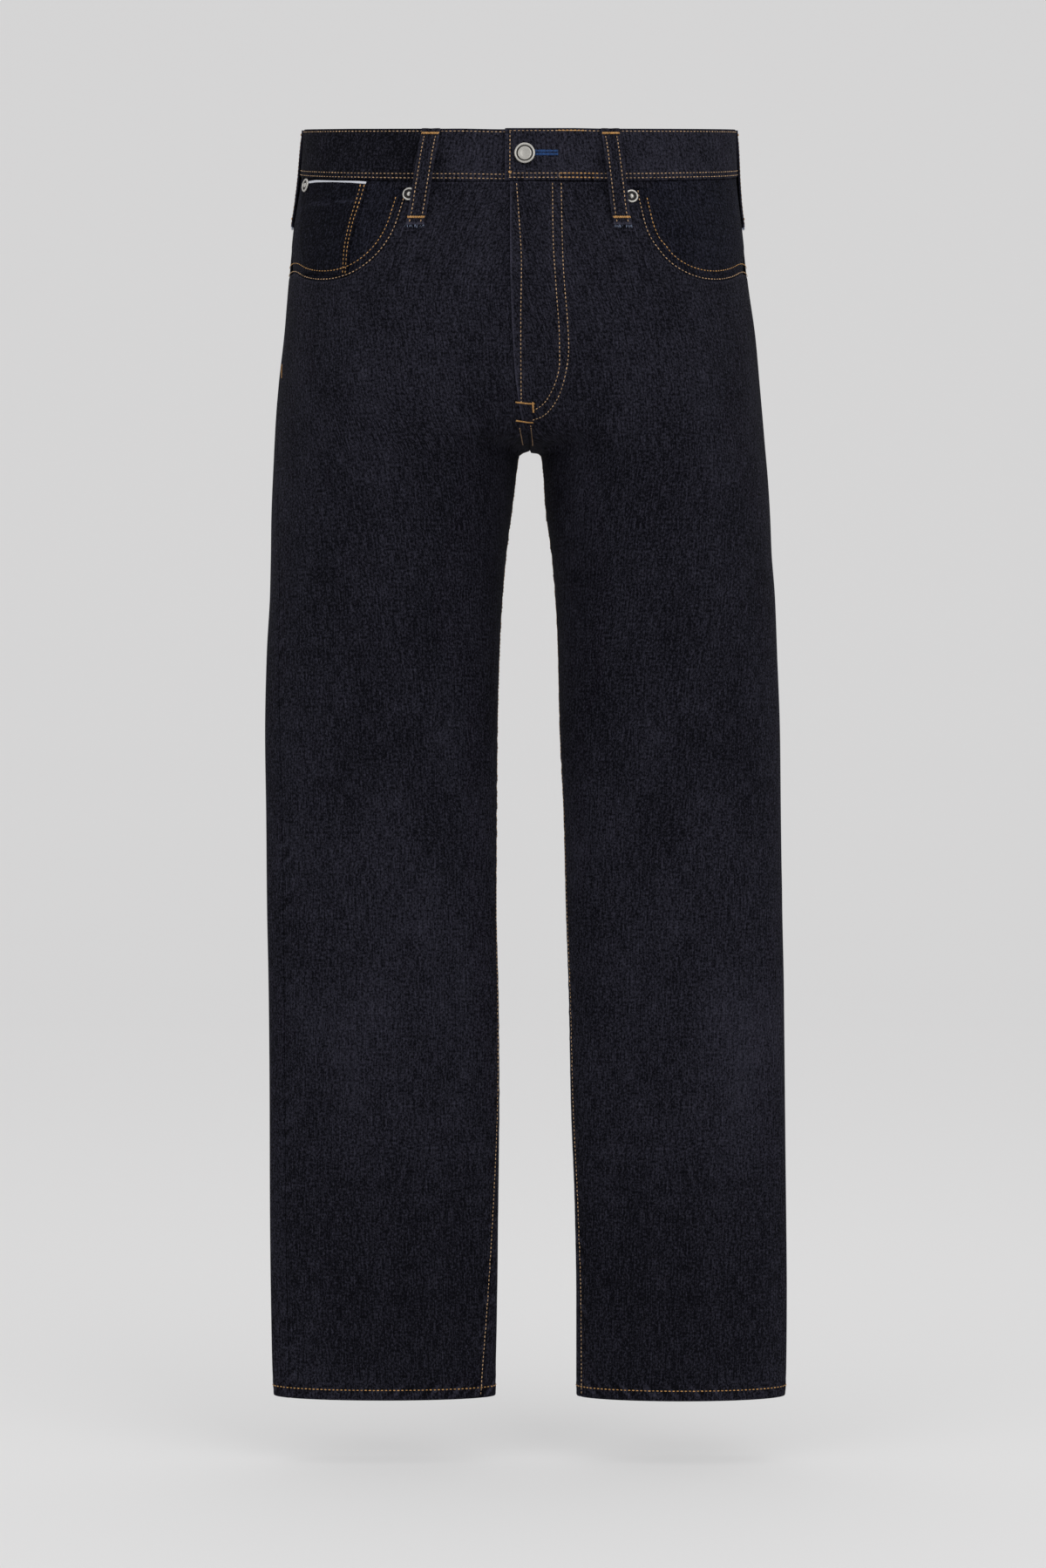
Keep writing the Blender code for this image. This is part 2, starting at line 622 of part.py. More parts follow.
def build():
    for old in list(bpy.data.objects):
        bpy.data.objects.remove(old)
    denim = material("denim", (0.016, 0.017, 0.024), 0.85)
    steel = material("steel", (0.62, 0.61, 0.58), 0.3, 1.0)
    tape = material("tape", (0.012, 0.013, 0.018), 0.8)

    made = {}
    for side in (RIGHT, LEFT):
        for maker in (front, back, yoke, facing, back_pocket):
            piece = maker(side, denim)
            made[piece.name] = piece
    made["waistband"] = waistband(denim)
    made["coin_pocket"] = coin_pocket(denim)

    for name, side in (("right", RIGHT), ("left", LEFT)):
        top = locate(side, 0.0725 if side == RIGHT else 0.0730, -0.0190, level=0.2)
        foot = locate(side, 0.0855 if side == RIGHT else 0.0830, -0.0975)
        belt_loop(f"loop_front_{name}", side, (0.02, top[1]), foot, denim)
        belt_loop(f"loop_side_{name}", side, (0.02, 0.012), (1.93, 0.012), denim)
    belt_loop("loop_back", LEFT, (0.02, 1.0), (1.60, 1.0), denim)

    shield_levels = [1.01, 1.5, 2, 2.5, 3, 3.5, 4, 4.5, 5]
    strip("fly_shield", shield_levels, -0.020, 0.036, -0.0086, -0.0074, denim)
    strip("zip", [1.30, 1.65, 2, 2.5, 3, 3.5, 4, 4.4, 4.8], -0.0100, 0.0220, -0.0046, -0.0034, tape)
    slider_levels = [1.06, 1.16, 1.26]
    strip("zip_slider", slider_levels, 0.0015, 0.0105, -0.0058, -0.0018, steel, 2)

    band = made["waistband"]
    spot_level, spot_across = locate(LEFT, 0.0036, -0.0385, -0.98, 0.5)
    out = normal(LEFT, spot_level, spot_across)
    spot = place(LEFT, spot_level, spot_across)
    drill(band, spot, out, 0.0027, 0.012)
    fastener("button", spot, out, (0.0086, 0.0034, 0.0064), 0.0023, (0.0050, -0.0044, -0.0034), steel)

    for name, side, x, z in (("right", RIGHT, 0.0905, -0.0713), ("left", LEFT, 0.0905, -0.0730)):
        level, across = locate(side, x, z)
        out, spot = normal(side, level, across), place(side, level, across)
        drill(made[f"front_{name}"], spot, out, 0.0019, 0.010)
        drill(made[f"facing_{name}"], spot, out, 0.0019, 0.010)
        head, foot = (0.0057, 0.0006, 0.0020), (0.0040, -0.0072, -0.0060)
        fastener(f"rivet_{name}", spot, out, head, 0.0015, foot, steel)
    level, across = locate(RIGHT, 0.1770, -0.0535)
    out, spot = normal(RIGHT, level, across), place(RIGHT, level, across)
    drill(made["coin_pocket"], spot, out, 0.0019, 0.010)
    drill(made["facing_right"], spot, out, 0.0019, 0.010)
    fastener("rivet_coin", spot, out, (0.0057, 0.0021, 0.0035), 0.0015, (0.0040, -0.0052, -0.0043), steel)


build()
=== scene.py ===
"""Looks for the straight leg jeans: fine cloth shells, stitching and metal on the part's own surface.

Metres, +Z up, the front faces -Y and the wearer's left is +X. Every shell, row of stitches and
crease is placed on one surface, by level down the garment and by how far across a panel it lies.
"""

from collections import namedtuple
from functools import lru_cache

import bmesh
import bpy
import numpy as np
from mathutils import Matrix, Vector


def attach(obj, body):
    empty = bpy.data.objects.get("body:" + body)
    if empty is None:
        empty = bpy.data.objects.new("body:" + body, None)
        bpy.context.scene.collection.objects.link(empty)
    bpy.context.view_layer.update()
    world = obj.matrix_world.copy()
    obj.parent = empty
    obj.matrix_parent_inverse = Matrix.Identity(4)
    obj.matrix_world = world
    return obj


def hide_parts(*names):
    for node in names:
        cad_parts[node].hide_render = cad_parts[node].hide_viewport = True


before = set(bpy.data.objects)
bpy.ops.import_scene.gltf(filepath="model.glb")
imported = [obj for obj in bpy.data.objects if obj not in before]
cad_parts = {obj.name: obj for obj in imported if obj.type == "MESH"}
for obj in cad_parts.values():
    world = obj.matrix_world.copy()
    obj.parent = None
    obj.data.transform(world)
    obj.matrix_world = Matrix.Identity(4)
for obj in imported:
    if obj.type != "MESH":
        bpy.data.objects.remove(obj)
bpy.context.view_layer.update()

rng = np.random.default_rng(7)

RIGHT, LEFT = -1, 1  # the wearer's sides, and the sign of x there

CLOTH = 0.0012  # one layer of heavy denim
SEAM = 0.0003
BAND_OUT, BAND_THICK = 0.0012, 0.0026
BAND_STEP = 0.0017  # how far each lapped end leaves the surface
BAND_OVER, BAND_UNDER = 0.0128, 0.0320
FLY_STEP, FLY_WIDE = 0.0017, 0.0350
LOOP_WIDE, LOOP_THICK, LOOP_LONG = 0.0155, 0.0022, 0.08
HEM_DEEP = 0.0105
FULL = 0.56  # length of a curve's handles, 0.55 for an ellipse

# Levels of the body, from the top edge. z_* are the heights at the centre front, the side and the
# centre back. right and left are the widest points, front and back the deepest. *_share places the
# deepest point between centre and side. turn is the way the section leaves the centre, in degrees.
Body = namedtuple(
    "Body",
    "z_front z_side z_back centre right left y_front y_back front back front_share back_share turn",
)
BODY = [
    Body(-0.0168, 0.0000, 0.0130, 0.0000, 0.1815, 0.1805, -0.0880, 0.0900, -0.0885, 0.0910, 0.30, 0.30, 0),
    Body(-0.0605, -0.0400, -0.0290, 0.0000, 0.1845, 0.1820, -0.0925, 0.0970, -0.0935, 0.0985, 0.32, 0.35, 0),
    Body(-0.1020, -0.0850, -0.0800, 0.0000, 0.1915, 0.1872, -0.0985, 0.1060, -0.1005, 0.1095, 0.34, 0.40, 0),
    Body(-0.1450, -0.1300, -0.1300, 0.0005, 0.1958, 0.1922, -0.1040, 0.1150, -0.1070, 0.1210, 0.36, 0.44, 0),
    Body(-0.1850, -0.1750, -0.1780, 0.0020, 0.1996, 0.1985, -0.1055, 0.1170, -0.1110, 0.1265, 0.39, 0.46, 0),
    Body(-0.2200, -0.2120, -0.2190, 0.0040, 0.2037, 0.2017, -0.1015, 0.1060, -0.1120, 0.1260, 0.42, 0.47, 6),
    Body(-0.2485, -0.2430, -0.2490, 0.0060, 0.2062, 0.2043, -0.0840, 0.0800, -0.1105, 0.1220, 0.44, 0.48, 20),
    Body(-0.2650, -0.2700, -0.2660, 0.0075, 0.2076, 0.2065, -0.0500, 0.0440, -0.1070, 0.1160, 0.46, 0.49, 44),
]

# Levels of the legs, from the crotch point down. Each leg has its own inner and outer edge and
# depth: the right one is the flatter. *_in_seam and *_out_seam are how far round to the front the
# inseam and the side seam lie, along the cloth.
Leg = namedtuple(
    "Leg",
    "z_in z_side y_in right_in right_out left_in left_out right_front right_back left_front left_back turn",
)
LEG = [
    Leg(-0.2710, -0.2970, 0.008, -0.0080, 0.2088, 0.0080, 0.2088, -0.1020, 0.1090, -0.1020, 0.1090, 68),
    Leg(-0.2740, -0.3130, 0.008, 0.0002, 0.2095, 0.0166, 0.2098, -0.0980, 0.1040, -0.0985, 0.1040, 79),
    Leg(-0.2880, -0.3320, 0.009, 0.0028, 0.2101, 0.0190, 0.2108, -0.0930, 0.0985, -0.0940, 0.0990, 86),
    Leg(-0.3180, -0.3580, 0.010, 0.0066, 0.2104, 0.0210, 0.2118, -0.0870, 0.0915, -0.0885, 0.0930, 90),
    Leg(-0.3650, -0.3940, 0.010, 0.0125, 0.2112, 0.0270, 0.2146, -0.0780, 0.0815, -0.0810, 0.0850, 90),
    Leg(-0.4300, -0.4450, 0.008, 0.0170, 0.2140, 0.0313, 0.2166, -0.0660, 0.0690, -0.0710, 0.0740, 90),
    Leg(-0.5050, -0.5100, 0.006, 0.0191, 0.2154, 0.0330, 0.2190, -0.0540, 0.0570, -0.0600, 0.0630, 90),
    Leg(-0.5800, -0.5800, 0.004, 0.0197, 0.2145, 0.0364, 0.2198, -0.0450, 0.0490, -0.0520, 0.0560, 90),
    Leg(-0.6550, -0.6550, 0.002, 0.0200, 0.2139, 0.0382, 0.2209, -0.0405, 0.0450, -0.0475, 0.0520, 90),
    Leg(-0.7350, -0.7350, 0.000, 0.0182, 0.2124, 0.0408, 0.2225, -0.0380, 0.0430, -0.0440, 0.0490, 90),
    Leg(-0.8200, -0.8200, 0.000, 0.0176, 0.2117, 0.0424, 0.2229, -0.0350, 0.0400, -0.0405, 0.0450, 90),
    Leg(-0.9050, -0.9050, 0.000, 0.0185, 0.2115, 0.0456, 0.2238, -0.0320, 0.0365, -0.0365, 0.0405, 90),
    Leg(-0.9850, -0.9850, 0.000, 0.0194, 0.2107, 0.0470, 0.2248, -0.0295, 0.0330, -0.0335, 0.0365, 90),
    Leg(-1.0450, -1.0450, 0.000, 0.0205, 0.2094, 0.0470, 0.2243, -0.0280, 0.0305, -0.0315, 0.0340, 90),
    Leg(-1.0670, -1.0670, 0.000, 0.0206, 0.2082, 0.0470, 0.2235, -0.0275, 0.0295, -0.0310, 0.0330, 90),
]

# How far round to the front each seam lies, along the cloth, at some heights of the side.
Turn = namedtuple("Turn", "z right_out right_in left_out left_in")
SEAM_TURN = [
    Turn(0.000, 0.000, 0.000, 0.000, 0.000),
    Turn(-0.130, 0.002, 0.000, 0.000, 0.000),
    Turn(-0.200, 0.018, 0.000, -0.004, 0.000),
    Turn(-0.300, 0.040, 0.000, -0.008, 0.000),
    Turn(-0.400, 0.038, 0.000, -0.008, 0.001),
    Turn(-0.600, 0.030, 0.001, -0.006, 0.004),
    Turn(-0.800, 0.026, 0.005, -0.004, 0.007),
    Turn(-0.950, 0.024, 0.011, -0.004, 0.009),
    Turn(-1.067, 0.023, 0.018, -0.004, 0.009),
]

CROTCH = len(BODY)
HEM = len(BODY) + len(LEG) - 1
WAIST_SEAM = 1
HIP_LINE = 4  # below the pockets and the yokes

# Half a pocket mouth, seen from the front: distance from the centre line on each side.
Mouth = namedtuple("Mouth", "z right left")
MOUTH = [
    Mouth(-0.0640, 0.0918, 0.0940),
    Mouth(-0.0850, 0.0965, 0.0975),
    Mouth(-0.1030, 0.1030, 0.1025),
    Mouth(-0.1175, 0.1125, 0.1115),
    Mouth(-0.1280, 0.1235, 0.1215),
    Mouth(-0.1355, 0.1365, 0.1345),
    Mouth(-0.1390, 0.1500, 0.1480),
    Mouth(-0.1385, 0.1650, 0.1620),
    Mouth(-0.1340, 0.1780, 0.1750),
    Mouth(-0.1270, 0.1870, 0.1845),
]
MOUTH_TOP = {RIGHT: 0.0912, LEFT: 0.0935}  # where the mouth meets the waist seam
MOUTH_END = 2.90  # level of the mouth's end on the side seam
POCKET_UNDER = 0.016  # how far the facing goes on under the front
POCKET_DEEP = 0.0036

# A belt loop's inner face above the surface, along its length.
Arch = namedtuple("Arch", "along gap")
ARCH = [
    Arch(0.00, 0.0020),
    Arch(0.07, 0.0022),
    Arch(0.16, 0.0052),
    Arch(0.28, 0.0070),
    Arch(0.42, 0.0074),
    Arch(0.56, 0.0070),
    Arch(0.68, 0.0052),
    Arch(0.79, 0.0022),
    Arch(0.88, 0.0011),
    Arch(1.00, 0.0011),
]


def word_of(side):
    return "right" if side == RIGHT else "left"


def smooth(value):
    t = np.clip(value, 0.0, 1.0)
    return t * t * (3 - 2 * t)


def run_along(points):
    """Distance along a line of points, from its first."""
    return np.concatenate([[0], np.cumsum(np.linalg.norm(np.diff(points, axis=0), axis=1))])


def hermite(t, first, leave, last, reach):
    """A cubic between two values, with the slope at each."""
    return (
        (2 * t**3 - 3 * t**2 + 1) * first
        + (t**3 - 2 * t**2 + t) * leave
        + (3 * t**2 - 2 * t**3) * last
        + (t**3 - t**2) * reach
    )


def between(grid, a, b):
    """Values of a grid at fractional rows and columns."""
    i, j = a.astype(int), b.astype(int)
    fa, fb = (a - i)[..., None], (b - j)[..., None]
    near = grid[i, j] * (1 - fb) + grid[i, j + 1] * fb
    far = grid[i + 1, j] * (1 - fb) + grid[i + 1, j + 1] * fb
    return near * (1 - fa) + far * fa


def slopes(values):
    """Slopes that keep a curve through evenly spaced values from overshooting."""
    steps = np.diff(values, axis=0)
    before, after = steps[:-1], steps[1:]
    same = before * after > 0
    middle = np.where(same, 2 * before * after / np.where(same, before + after, 1.0), 0.0)
    return np.vstack([steps[:1], middle, steps[-1:]])


@lru_cache(None)
def table(side):
    """One row a level: z front, side, back; x centre, outer; y front and back; depths; shares; turn."""
    rows = []
    for b in BODY:
        outer = b.right if side == RIGHT else b.left
        rows.append(
            [b.z_front, b.z_side, b.z_back, b.centre, outer * side, b.y_front, b.y_back]
            + [b.front, b.back, b.front_share, b.back_share, b.turn]
        )
    for g in LEG:
        inner, outer, front, back = (
            (g.right_in, g.right_out, g.right_front, g.right_back)
            if side == RIGHT
            else (g.left_in, g.left_out, g.left_front, g.left_back)
        )
        heights = [g.z_in, g.z_side, g.z_in]
        rows.append([*heights, inner * side, outer * side, g.y_in, g.y_in, front, back, 0.5, 0.5, g.turn])
    rows = np.array(rows, float)
    heights = [t.z for t in SEAM_TURN][::-1]
    outs = [t.right_out if side == RIGHT else t.left_out for t in SEAM_TURN][::-1]
    ins = [t.right_in if side == RIGHT else t.left_in for t in SEAM_TURN][::-1]
    seams = np.column_stack([np.interp(rows[:, 1], heights, outs), np.interp(rows[:, 1], heights, ins)])
    rows = np.hstack([rows, seams])
    leave, reach = slopes(rows), slopes(rows)
    reach[CROTCH, 3] = 0.0005
    leave[CROTCH, 3] = 2 * (rows[CROTCH + 1, 3] - rows[CROTCH, 3])
    return rows, leave, reach


def row_at(side, level):
    rows, leave, reach = table(side)
    i = int(min(max(np.floor(level), 0), len(rows) - 2))
    return hermite(level - i, rows[i], leave[i], rows[i + 1], reach[i + 1])


def arc(start, start_way, end, end_way, count=44):
    """A curve in plan between two points, with a handle along each way."""
    t = np.linspace(0, 1, count)[:, None]
    p0, p3 = np.array(start), np.array(end)
    p1, p2 = p0 + np.array(start_way), p3 + np.array(end_way)
    return (1 - t) ** 3 * p0 + 3 * (1 - t) ** 2 * t * p1 + 3 * (1 - t) * t**2 * p2 + t**3 * p3


def section(side, level):
    """The whole line round at a level: distances along it, and points that carry on past each end."""
    zf, zs, zb, cx, ox, ycf, ycb, yf, yb, sf, sb, turn, out_seam, in_seam = row_at(side, level)
    lean = np.radians(turn)
    wide = ox - cx
    mid_y = (yf + yb) / 2
    halves = []
    for y0, deep, share, zc in ((ycf, yf, sf, zf), (ycb, yb, sb, zb)):
        near = (cx + share * wide, deep)
        reach = FULL * (abs(share * wide) * np.cos(lean) + abs(deep - y0) * np.sin(lean))
        way = (np.sign(wide) * reach * np.cos(lean), np.sign(deep - y0) * reach * np.sin(lean))
        first = arc((cx, y0), way, near, (-FULL * share * wide, 0))
        last = arc(near, (FULL * (1 - share) * wide, 0), (ox, mid_y), (0, FULL * (deep - mid_y)))
        plan = np.vstack([first, last[1:]])
        run = run_along(plan)
        level_tilt = (plan[:, 1] - mid_y) / (y0 - mid_y)
        round_tilt = 1 - smooth(run / run[-1])
        blend = smooth((level - HIP_LINE) / 2)
        z = zs + (zc - zs) * ((1 - blend) * level_tilt + blend * round_tilt)
        halves.append(np.column_stack([plan, z]))
    front, back = halves[0], halves[1][::-1]
    line = np.vstack([front, back[1:]])
    if level < CROTCH:
        before, after = front[:0:-1].copy(), back[-2::-1].copy()
        before[:, 0] = 2 * cx - before[:, 0]
        after[:, 0] = 2 * cx - after[:, 0]
    else:
        before, after = back[:-1], front[1:]
    whole = np.vstack([before, line, after])
    run = run_along(whole)
    run -= run[len(before)]
    front_long = run[len(before) + len(front) - 1]
    all_long = run[len(before) + len(line) - 1]
    return run, whole, (in_seam, front_long - out_seam, all_long + in_seam)


LEVEL_STEP, ACROSS_STEP, ACROSS_REACH = 0.025, 0.0125, 1.4


@lru_cache(None)
def chart(side):
    """The surface on a fine grid: points, normals, and lengths round from the two seams."""
    levels = np.arange(0, HEM + LEVEL_STEP / 2, LEVEL_STEP)
    across = np.arange(-ACROSS_REACH, ACROSS_REACH + ACROSS_STEP / 2, ACROSS_STEP)
    points = np.empty((len(levels), len(across), 3))
    lengths = np.empty((len(levels), len(across), 2))
    for i, level in enumerate(levels):
        run, whole, (start, middle, end) = section(side, float(round(level, 6)))
        half = np.where(across <= 0, middle - start, end - middle)
        for k in range(3):
            points[i, :, k] = np.interp(middle + across * half, run, whole[:, k])
        lengths[i, :, 0] = across * half
        lengths[i, :, 1] = (1 - abs(across)) * half
    down, around = np.gradient(points, axis=0), np.gradient(points, axis=1)
    out = np.cross(down, around) * side
    out /= np.linalg.norm(out, axis=2, keepdims=True)
    return points, out, lengths


def sample(grid, level, across):
    """Values of a chart's grid at levels and places across."""
    level, across = np.broadcast_arrays(np.asarray(level, float), np.asarray(across, float))
    a = np.clip(level / LEVEL_STEP, 0, grid.shape[0] - 1.001)
    b = np.clip((across + ACROSS_REACH) / ACROSS_STEP, 0, grid.shape[1] - 1.001)
    return between(grid, a, b)


def place(side, level, across):
    return sample(chart(side)[0], level, across)


def normal(side, level, across):
    out = sample(chart(side)[1], level, across)
    return out / np.linalg.norm(out, axis=-1, keepdims=True)


def long_of(side, level, across):
    """Length of the front or the back panel along a level."""
    return abs(float(sample(chart(side)[2], level, -1.0 if across <= 0 else 1.0)[..., 0]))


def locate(side, x, z, across=-0.5, level=2.0):
    """(level, across) of the point of the surface at this distance from the centre and height."""
    for _ in range(14):
        here = place(side, level, across)
        by_level = (place(side, level + 0.03, across) - here) / 0.03
        by_across = (place(side, level, across + 0.015) - here) / 0.015
        slope = np.array([[by_level[0], by_across[0]], [by_level[2], by_across[2]]])
        d_level, d_across = np.linalg.solve(slope, [side * x - here[0], z - here[2]])
        level = float(np.clip(level + np.clip(d_level, -0.6, 0.6), 0.0, HEM))
        across = float(np.clip(across + np.clip(d_across, -0.2, 0.2), -1.35, 1.35))
    return level, across


# Soft troughs and ridges, seen from the front (face -1) or behind (face 1): x and z of the two
# ends, how far the middle bows, how wide it is and how deep, with ridges below zero.
Crease = namedtuple("Crease", "face x0 z0 x1 z1 bow wide deep")
CREASES = [
    Crease(-1, 0.106, -0.108, 0.166, -0.106, 0.004, 0.0045, 0.0014),
    Crease(-1, 0.108, -0.074, 0.172, -0.070, -0.003, 0.0060, 0.0009),
    Crease(-1, -0.172, -0.0735, -0.132, -0.0720, 0.001, 0.0022, 0.0009),
    Crease(-1, -0.014, -0.120, -0.030, -0.196, 0.006, 0.0100, 0.0010),
    Crease(-1, -0.010, -0.215, -0.052, -0.262, 0.004, 0.0090, 0.0006),
    Crease(-1, 0.026, -0.252, 0.062, -0.290, -0.004, 0.0090, 0.0005),
    Crease(-1, -0.030, -0.262, -0.098, -0.318, 0.006, 0.0120, 0.0007),
    Crease(-1, 0.046, -0.285, 0.112, -0.330, -0.006, 0.0130, 0.0007),
    Crease(-1, 0.014, -0.085, 0.010, -0.190, 0.002, 0.0060, 0.0006),
    Crease(-1, -0.150, -0.190, -0.096, -0.222, 0.010, 0.0160, 0.0009),
    Crease(-1, 0.150, -0.176, 0.086, -0.214, -0.010, 0.0160, 0.0009),
    Crease(-1, -0.196, -0.560, -0.120, -0.590, 0.010, 0.0150, 0.0012),
    Crease(-1, -0.060, -0.545, -0.118, -0.612, 0.006, 0.0130, 0.0010),
    Crease(-1, -0.190, -0.660, -0.105, -0.640, -0.008, 0.0170, 0.0010),
    Crease(-1, 0.060, -0.560, 0.140, -0.600, -0.008, 0.0150, 0.0011),
    Crease(-1, 0.205, -0.600, 0.140, -0.655, 0.006, 0.0140, 0.0011),
    Crease(-1, 0.070, -0.690, 0.150, -0.665, -0.006, 0.0160, 0.0008),
    Crease(-1, -0.090, -0.360, -0.104, -0.540, 0.004, 0.0200, -0.0010),
    Crease(-1, 0.128, -0.370, 0.124, -0.560, 0.006, 0.0220, -0.0010),
    Crease(-1, -0.060, -0.700, -0.064, -1.000, 0.006, 0.0160, 0.0009),
    Crease(-1, -0.160, -0.720, -0.154, -1.020, -0.004, 0.0180, 0.0009),
    Crease(-1, 0.096, -0.710, 0.092, -1.010, -0.006, 0.0170, 0.0009),
    Crease(-1, 0.186, -0.730, 0.190, -1.000, 0.004, 0.0150, 0.0009),
    Crease(-1, -0.118, -0.810, -0.070, -0.850, 0.006, 0.0140, 0.0009),
    Crease(-1, 0.150, -0.840, 0.206, -0.800, 0.005, 0.0150, 0.0009),
    Crease(-1, -0.175, -0.034, -0.122, -0.024, 0.003, 0.0050, 0.0006),
    Crease(-1, -0.150, -0.048, -0.106, -0.052, 0.002, 0.0050, 0.0005),
    Crease(-1, 0.112, -0.044, 0.160, -0.034, -0.003, 0.0055, 0.0005),
    Crease(-1, -0.066, -0.030, -0.030, -0.040, 0.002, 0.0060, 0.0004),
    Crease(1, -0.020, -0.240, -0.110, -0.290, -0.012, 0.0120, 0.0020),
    Crease(1, 0.020, -0.244, 0.114, -0.286, 0.012, 0.0120, 0.0020),
    Crease(1, -0.050, -0.300, -0.150, -0.340, -0.010, 0.0150, 0.0016),
    Crease(1, 0.060, -0.306, 0.160, -0.336, 0.010, 0.0150, 0.0015),
    Crease(1, -0.176, -0.520, -0.090, -0.560, 0.012, 0.0160, 0.0018),
    Crease(1, -0.050, -0.600, -0.140, -0.570, 0.010, 0.0160, 0.0016),
    Crease(1, -0.190, -0.640, -0.100, -0.610, 0.008, 0.0180, 0.0012),
    Crease(1, 0.180, -0.515, 0.096, -0.552, -0.012, 0.0160, 0.0018),
    Crease(1, 0.056, -0.606, 0.150, -0.580, -0.010, 0.0160, 0.0015),
    Crease(1, 0.196, -0.650, 0.110, -0.625, -0.008, 0.0180, 0.0012),
    Crease(1, -0.100, -0.700, -0.108, -1.000, 0.006, 0.0180, 0.0010),
    Crease(1, 0.136, -0.700, 0.140, -1.000, 0.006, 0.0180, 0.0010),
]

# Uneven puckers along a seam: two wavelengths, mixed and drifting in phase.
Pucker = namedtuple("Pucker", "wave first second deep wide")
HEM_PUCKER = Pucker(0.0100, 1.0, 0.57, 0.00050, 0.0065)
SEAM_PUCKER = Pucker(0.0130, 1.0, 0.63, 0.00042, 0.0042)
BAND_PUCKER = Pucker(0.0085, 1.0, 0.61, 0.00020, 0.0040)


def ripple(pucker, along, slant=0.0, seed=0.0):
    turn = 2 * np.pi / pucker.wave
    drift = 1.3 * np.sin(along * 19.0 + seed) + 0.8 * np.sin(along * 47.0 + 2 * seed)
    first = np.sin(turn * pucker.first * (along + slant) + drift)
    second = np.sin(turn * pucker.second * (along + slant) - drift + seed)
    uneven = 0.65 + 0.35 * np.sin(along * 31.0 + 3 * seed)
    return uneven * (0.6 * first + 0.4 * second)


def hump(distance, wide):
    return np.exp(-((distance / wide) ** 2))


def creased(points, across):
    """Height of the listed creases."""
    total = np.zeros(points.shape[:-1])
    x, z = points[..., 0], points[..., 2]
    for c in CREASES:
        chord = np.array([c.x1 - c.x0, c.z1 - c.z0])
        long = np.hypot(*chord)
        ahead, beside = chord / long, np.array([-chord[1], chord[0]]) / long
        t = ((x - c.x0) * ahead[0] + (z - c.z0) * ahead[1]) / long
        off = (x - c.x0) * beside[0] + (z - c.z0) * beside[1] - c.bow * 4 * t * (1 - t)
        fade = smooth(t / 0.35) * smooth((1 - t) / 0.35) * smooth(0.5 + across * c.face * 4)
        beside_it = hump(off - 1.7 * c.wide, c.wide) + hump(off + 1.7 * c.wide, c.wide)
        ridge = hump(off, c.wide) - 0.55 * beside_it
        total -= 1.6 * c.deep * fade * ridge
    return total


def puckered(side, level, across, lengths, z):
    """Height of the puckers at the hem, the inseam and the side seam."""
    from_side, from_inner = lengths[..., 0], lengths[..., 1]
    bottom = place(side, HEM, across)[..., 2]
    up = z - bottom
    hem = ripple(HEM_PUCKER, from_side, 0.8 * up, 1.0 + side) * hump(up - 0.008, HEM_PUCKER.wide)
    leg = smooth((level - CROTCH) / 1.5)
    inner = ripple(SEAM_PUCKER, z, 0.9 * from_inner, 2.0 * side)
    inner = inner * hump(from_inner - 0.0035, SEAM_PUCKER.wide) * leg
    hip = smooth((level - HIP_LINE) / 1.0)
    outer = ripple(SEAM_PUCKER, z, -0.9 * abs(from_side), 4.0 + side)
    outer = outer * hump(from_side - 0.003 * side, SEAM_PUCKER.wide)
    return HEM_PUCKER.deep * hem + SEAM_PUCKER.deep * (inner + 0.8 * hip * outer)


def relief(side, level, across):
    level, across = np.broadcast_arrays(np.asarray(level, float), np.asarray(across, float))
    points = place(side, level, across)
    lengths = sample(chart(side)[2], level, across)
    return creased(points, across) + puckered(side, level, across, lengths, points[..., 2])


def skin(side, level, across, lift=0.0):
    """Points and normals of the creased cloth, a lift above the plain surface."""
    out = normal(side, level, across)
    height = np.asarray(lift, float) + relief(side, level, across)
    return place(side, level, across) + out * np.asarray(height)[..., None], out


# --- materials -----------------------------------------------------------------------------


def new_material(name, colour, rough, metal=0.0, specular=0.5):
    made = bpy.data.materials.new(name)
    made.use_nodes = True
    shader = made.node_tree.nodes["Principled BSDF"]
    shader.inputs["Base Color"].default_value = (*colour, 1.0)
    shader.inputs["Roughness"].default_value = rough
    shader.inputs["Metallic"].default_value = metal
    shader.inputs["Specular IOR Level"].default_value = specular
    return made, made.node_tree.nodes, made.node_tree.links, shader


def linked(name, data):
    """A new object, put in the scene."""
    made = bpy.data.objects.new(name, data)
    bpy.context.scene.collection.objects.link(made)
    return made


def node(nodes, kind, **settings):
    made = nodes.new(kind)
    for key, value in settings.items():
        if key[0].isupper():
            made.inputs[key.replace("_", " ")].default_value = value
        else:
            setattr(made, key, value)
    return made


def maths(nodes, links, operation, first, second=None, third=None):
    made = nodes.new("ShaderNodeMath")
    made.operation = operation
    for k, value in enumerate((first, second, third)):
        if value is None:
            continue
        if isinstance(value, (int, float)):
            made.inputs[k].default_value = value
        else:
            links.new(value, made.inputs[k])
    return made.outputs[0]


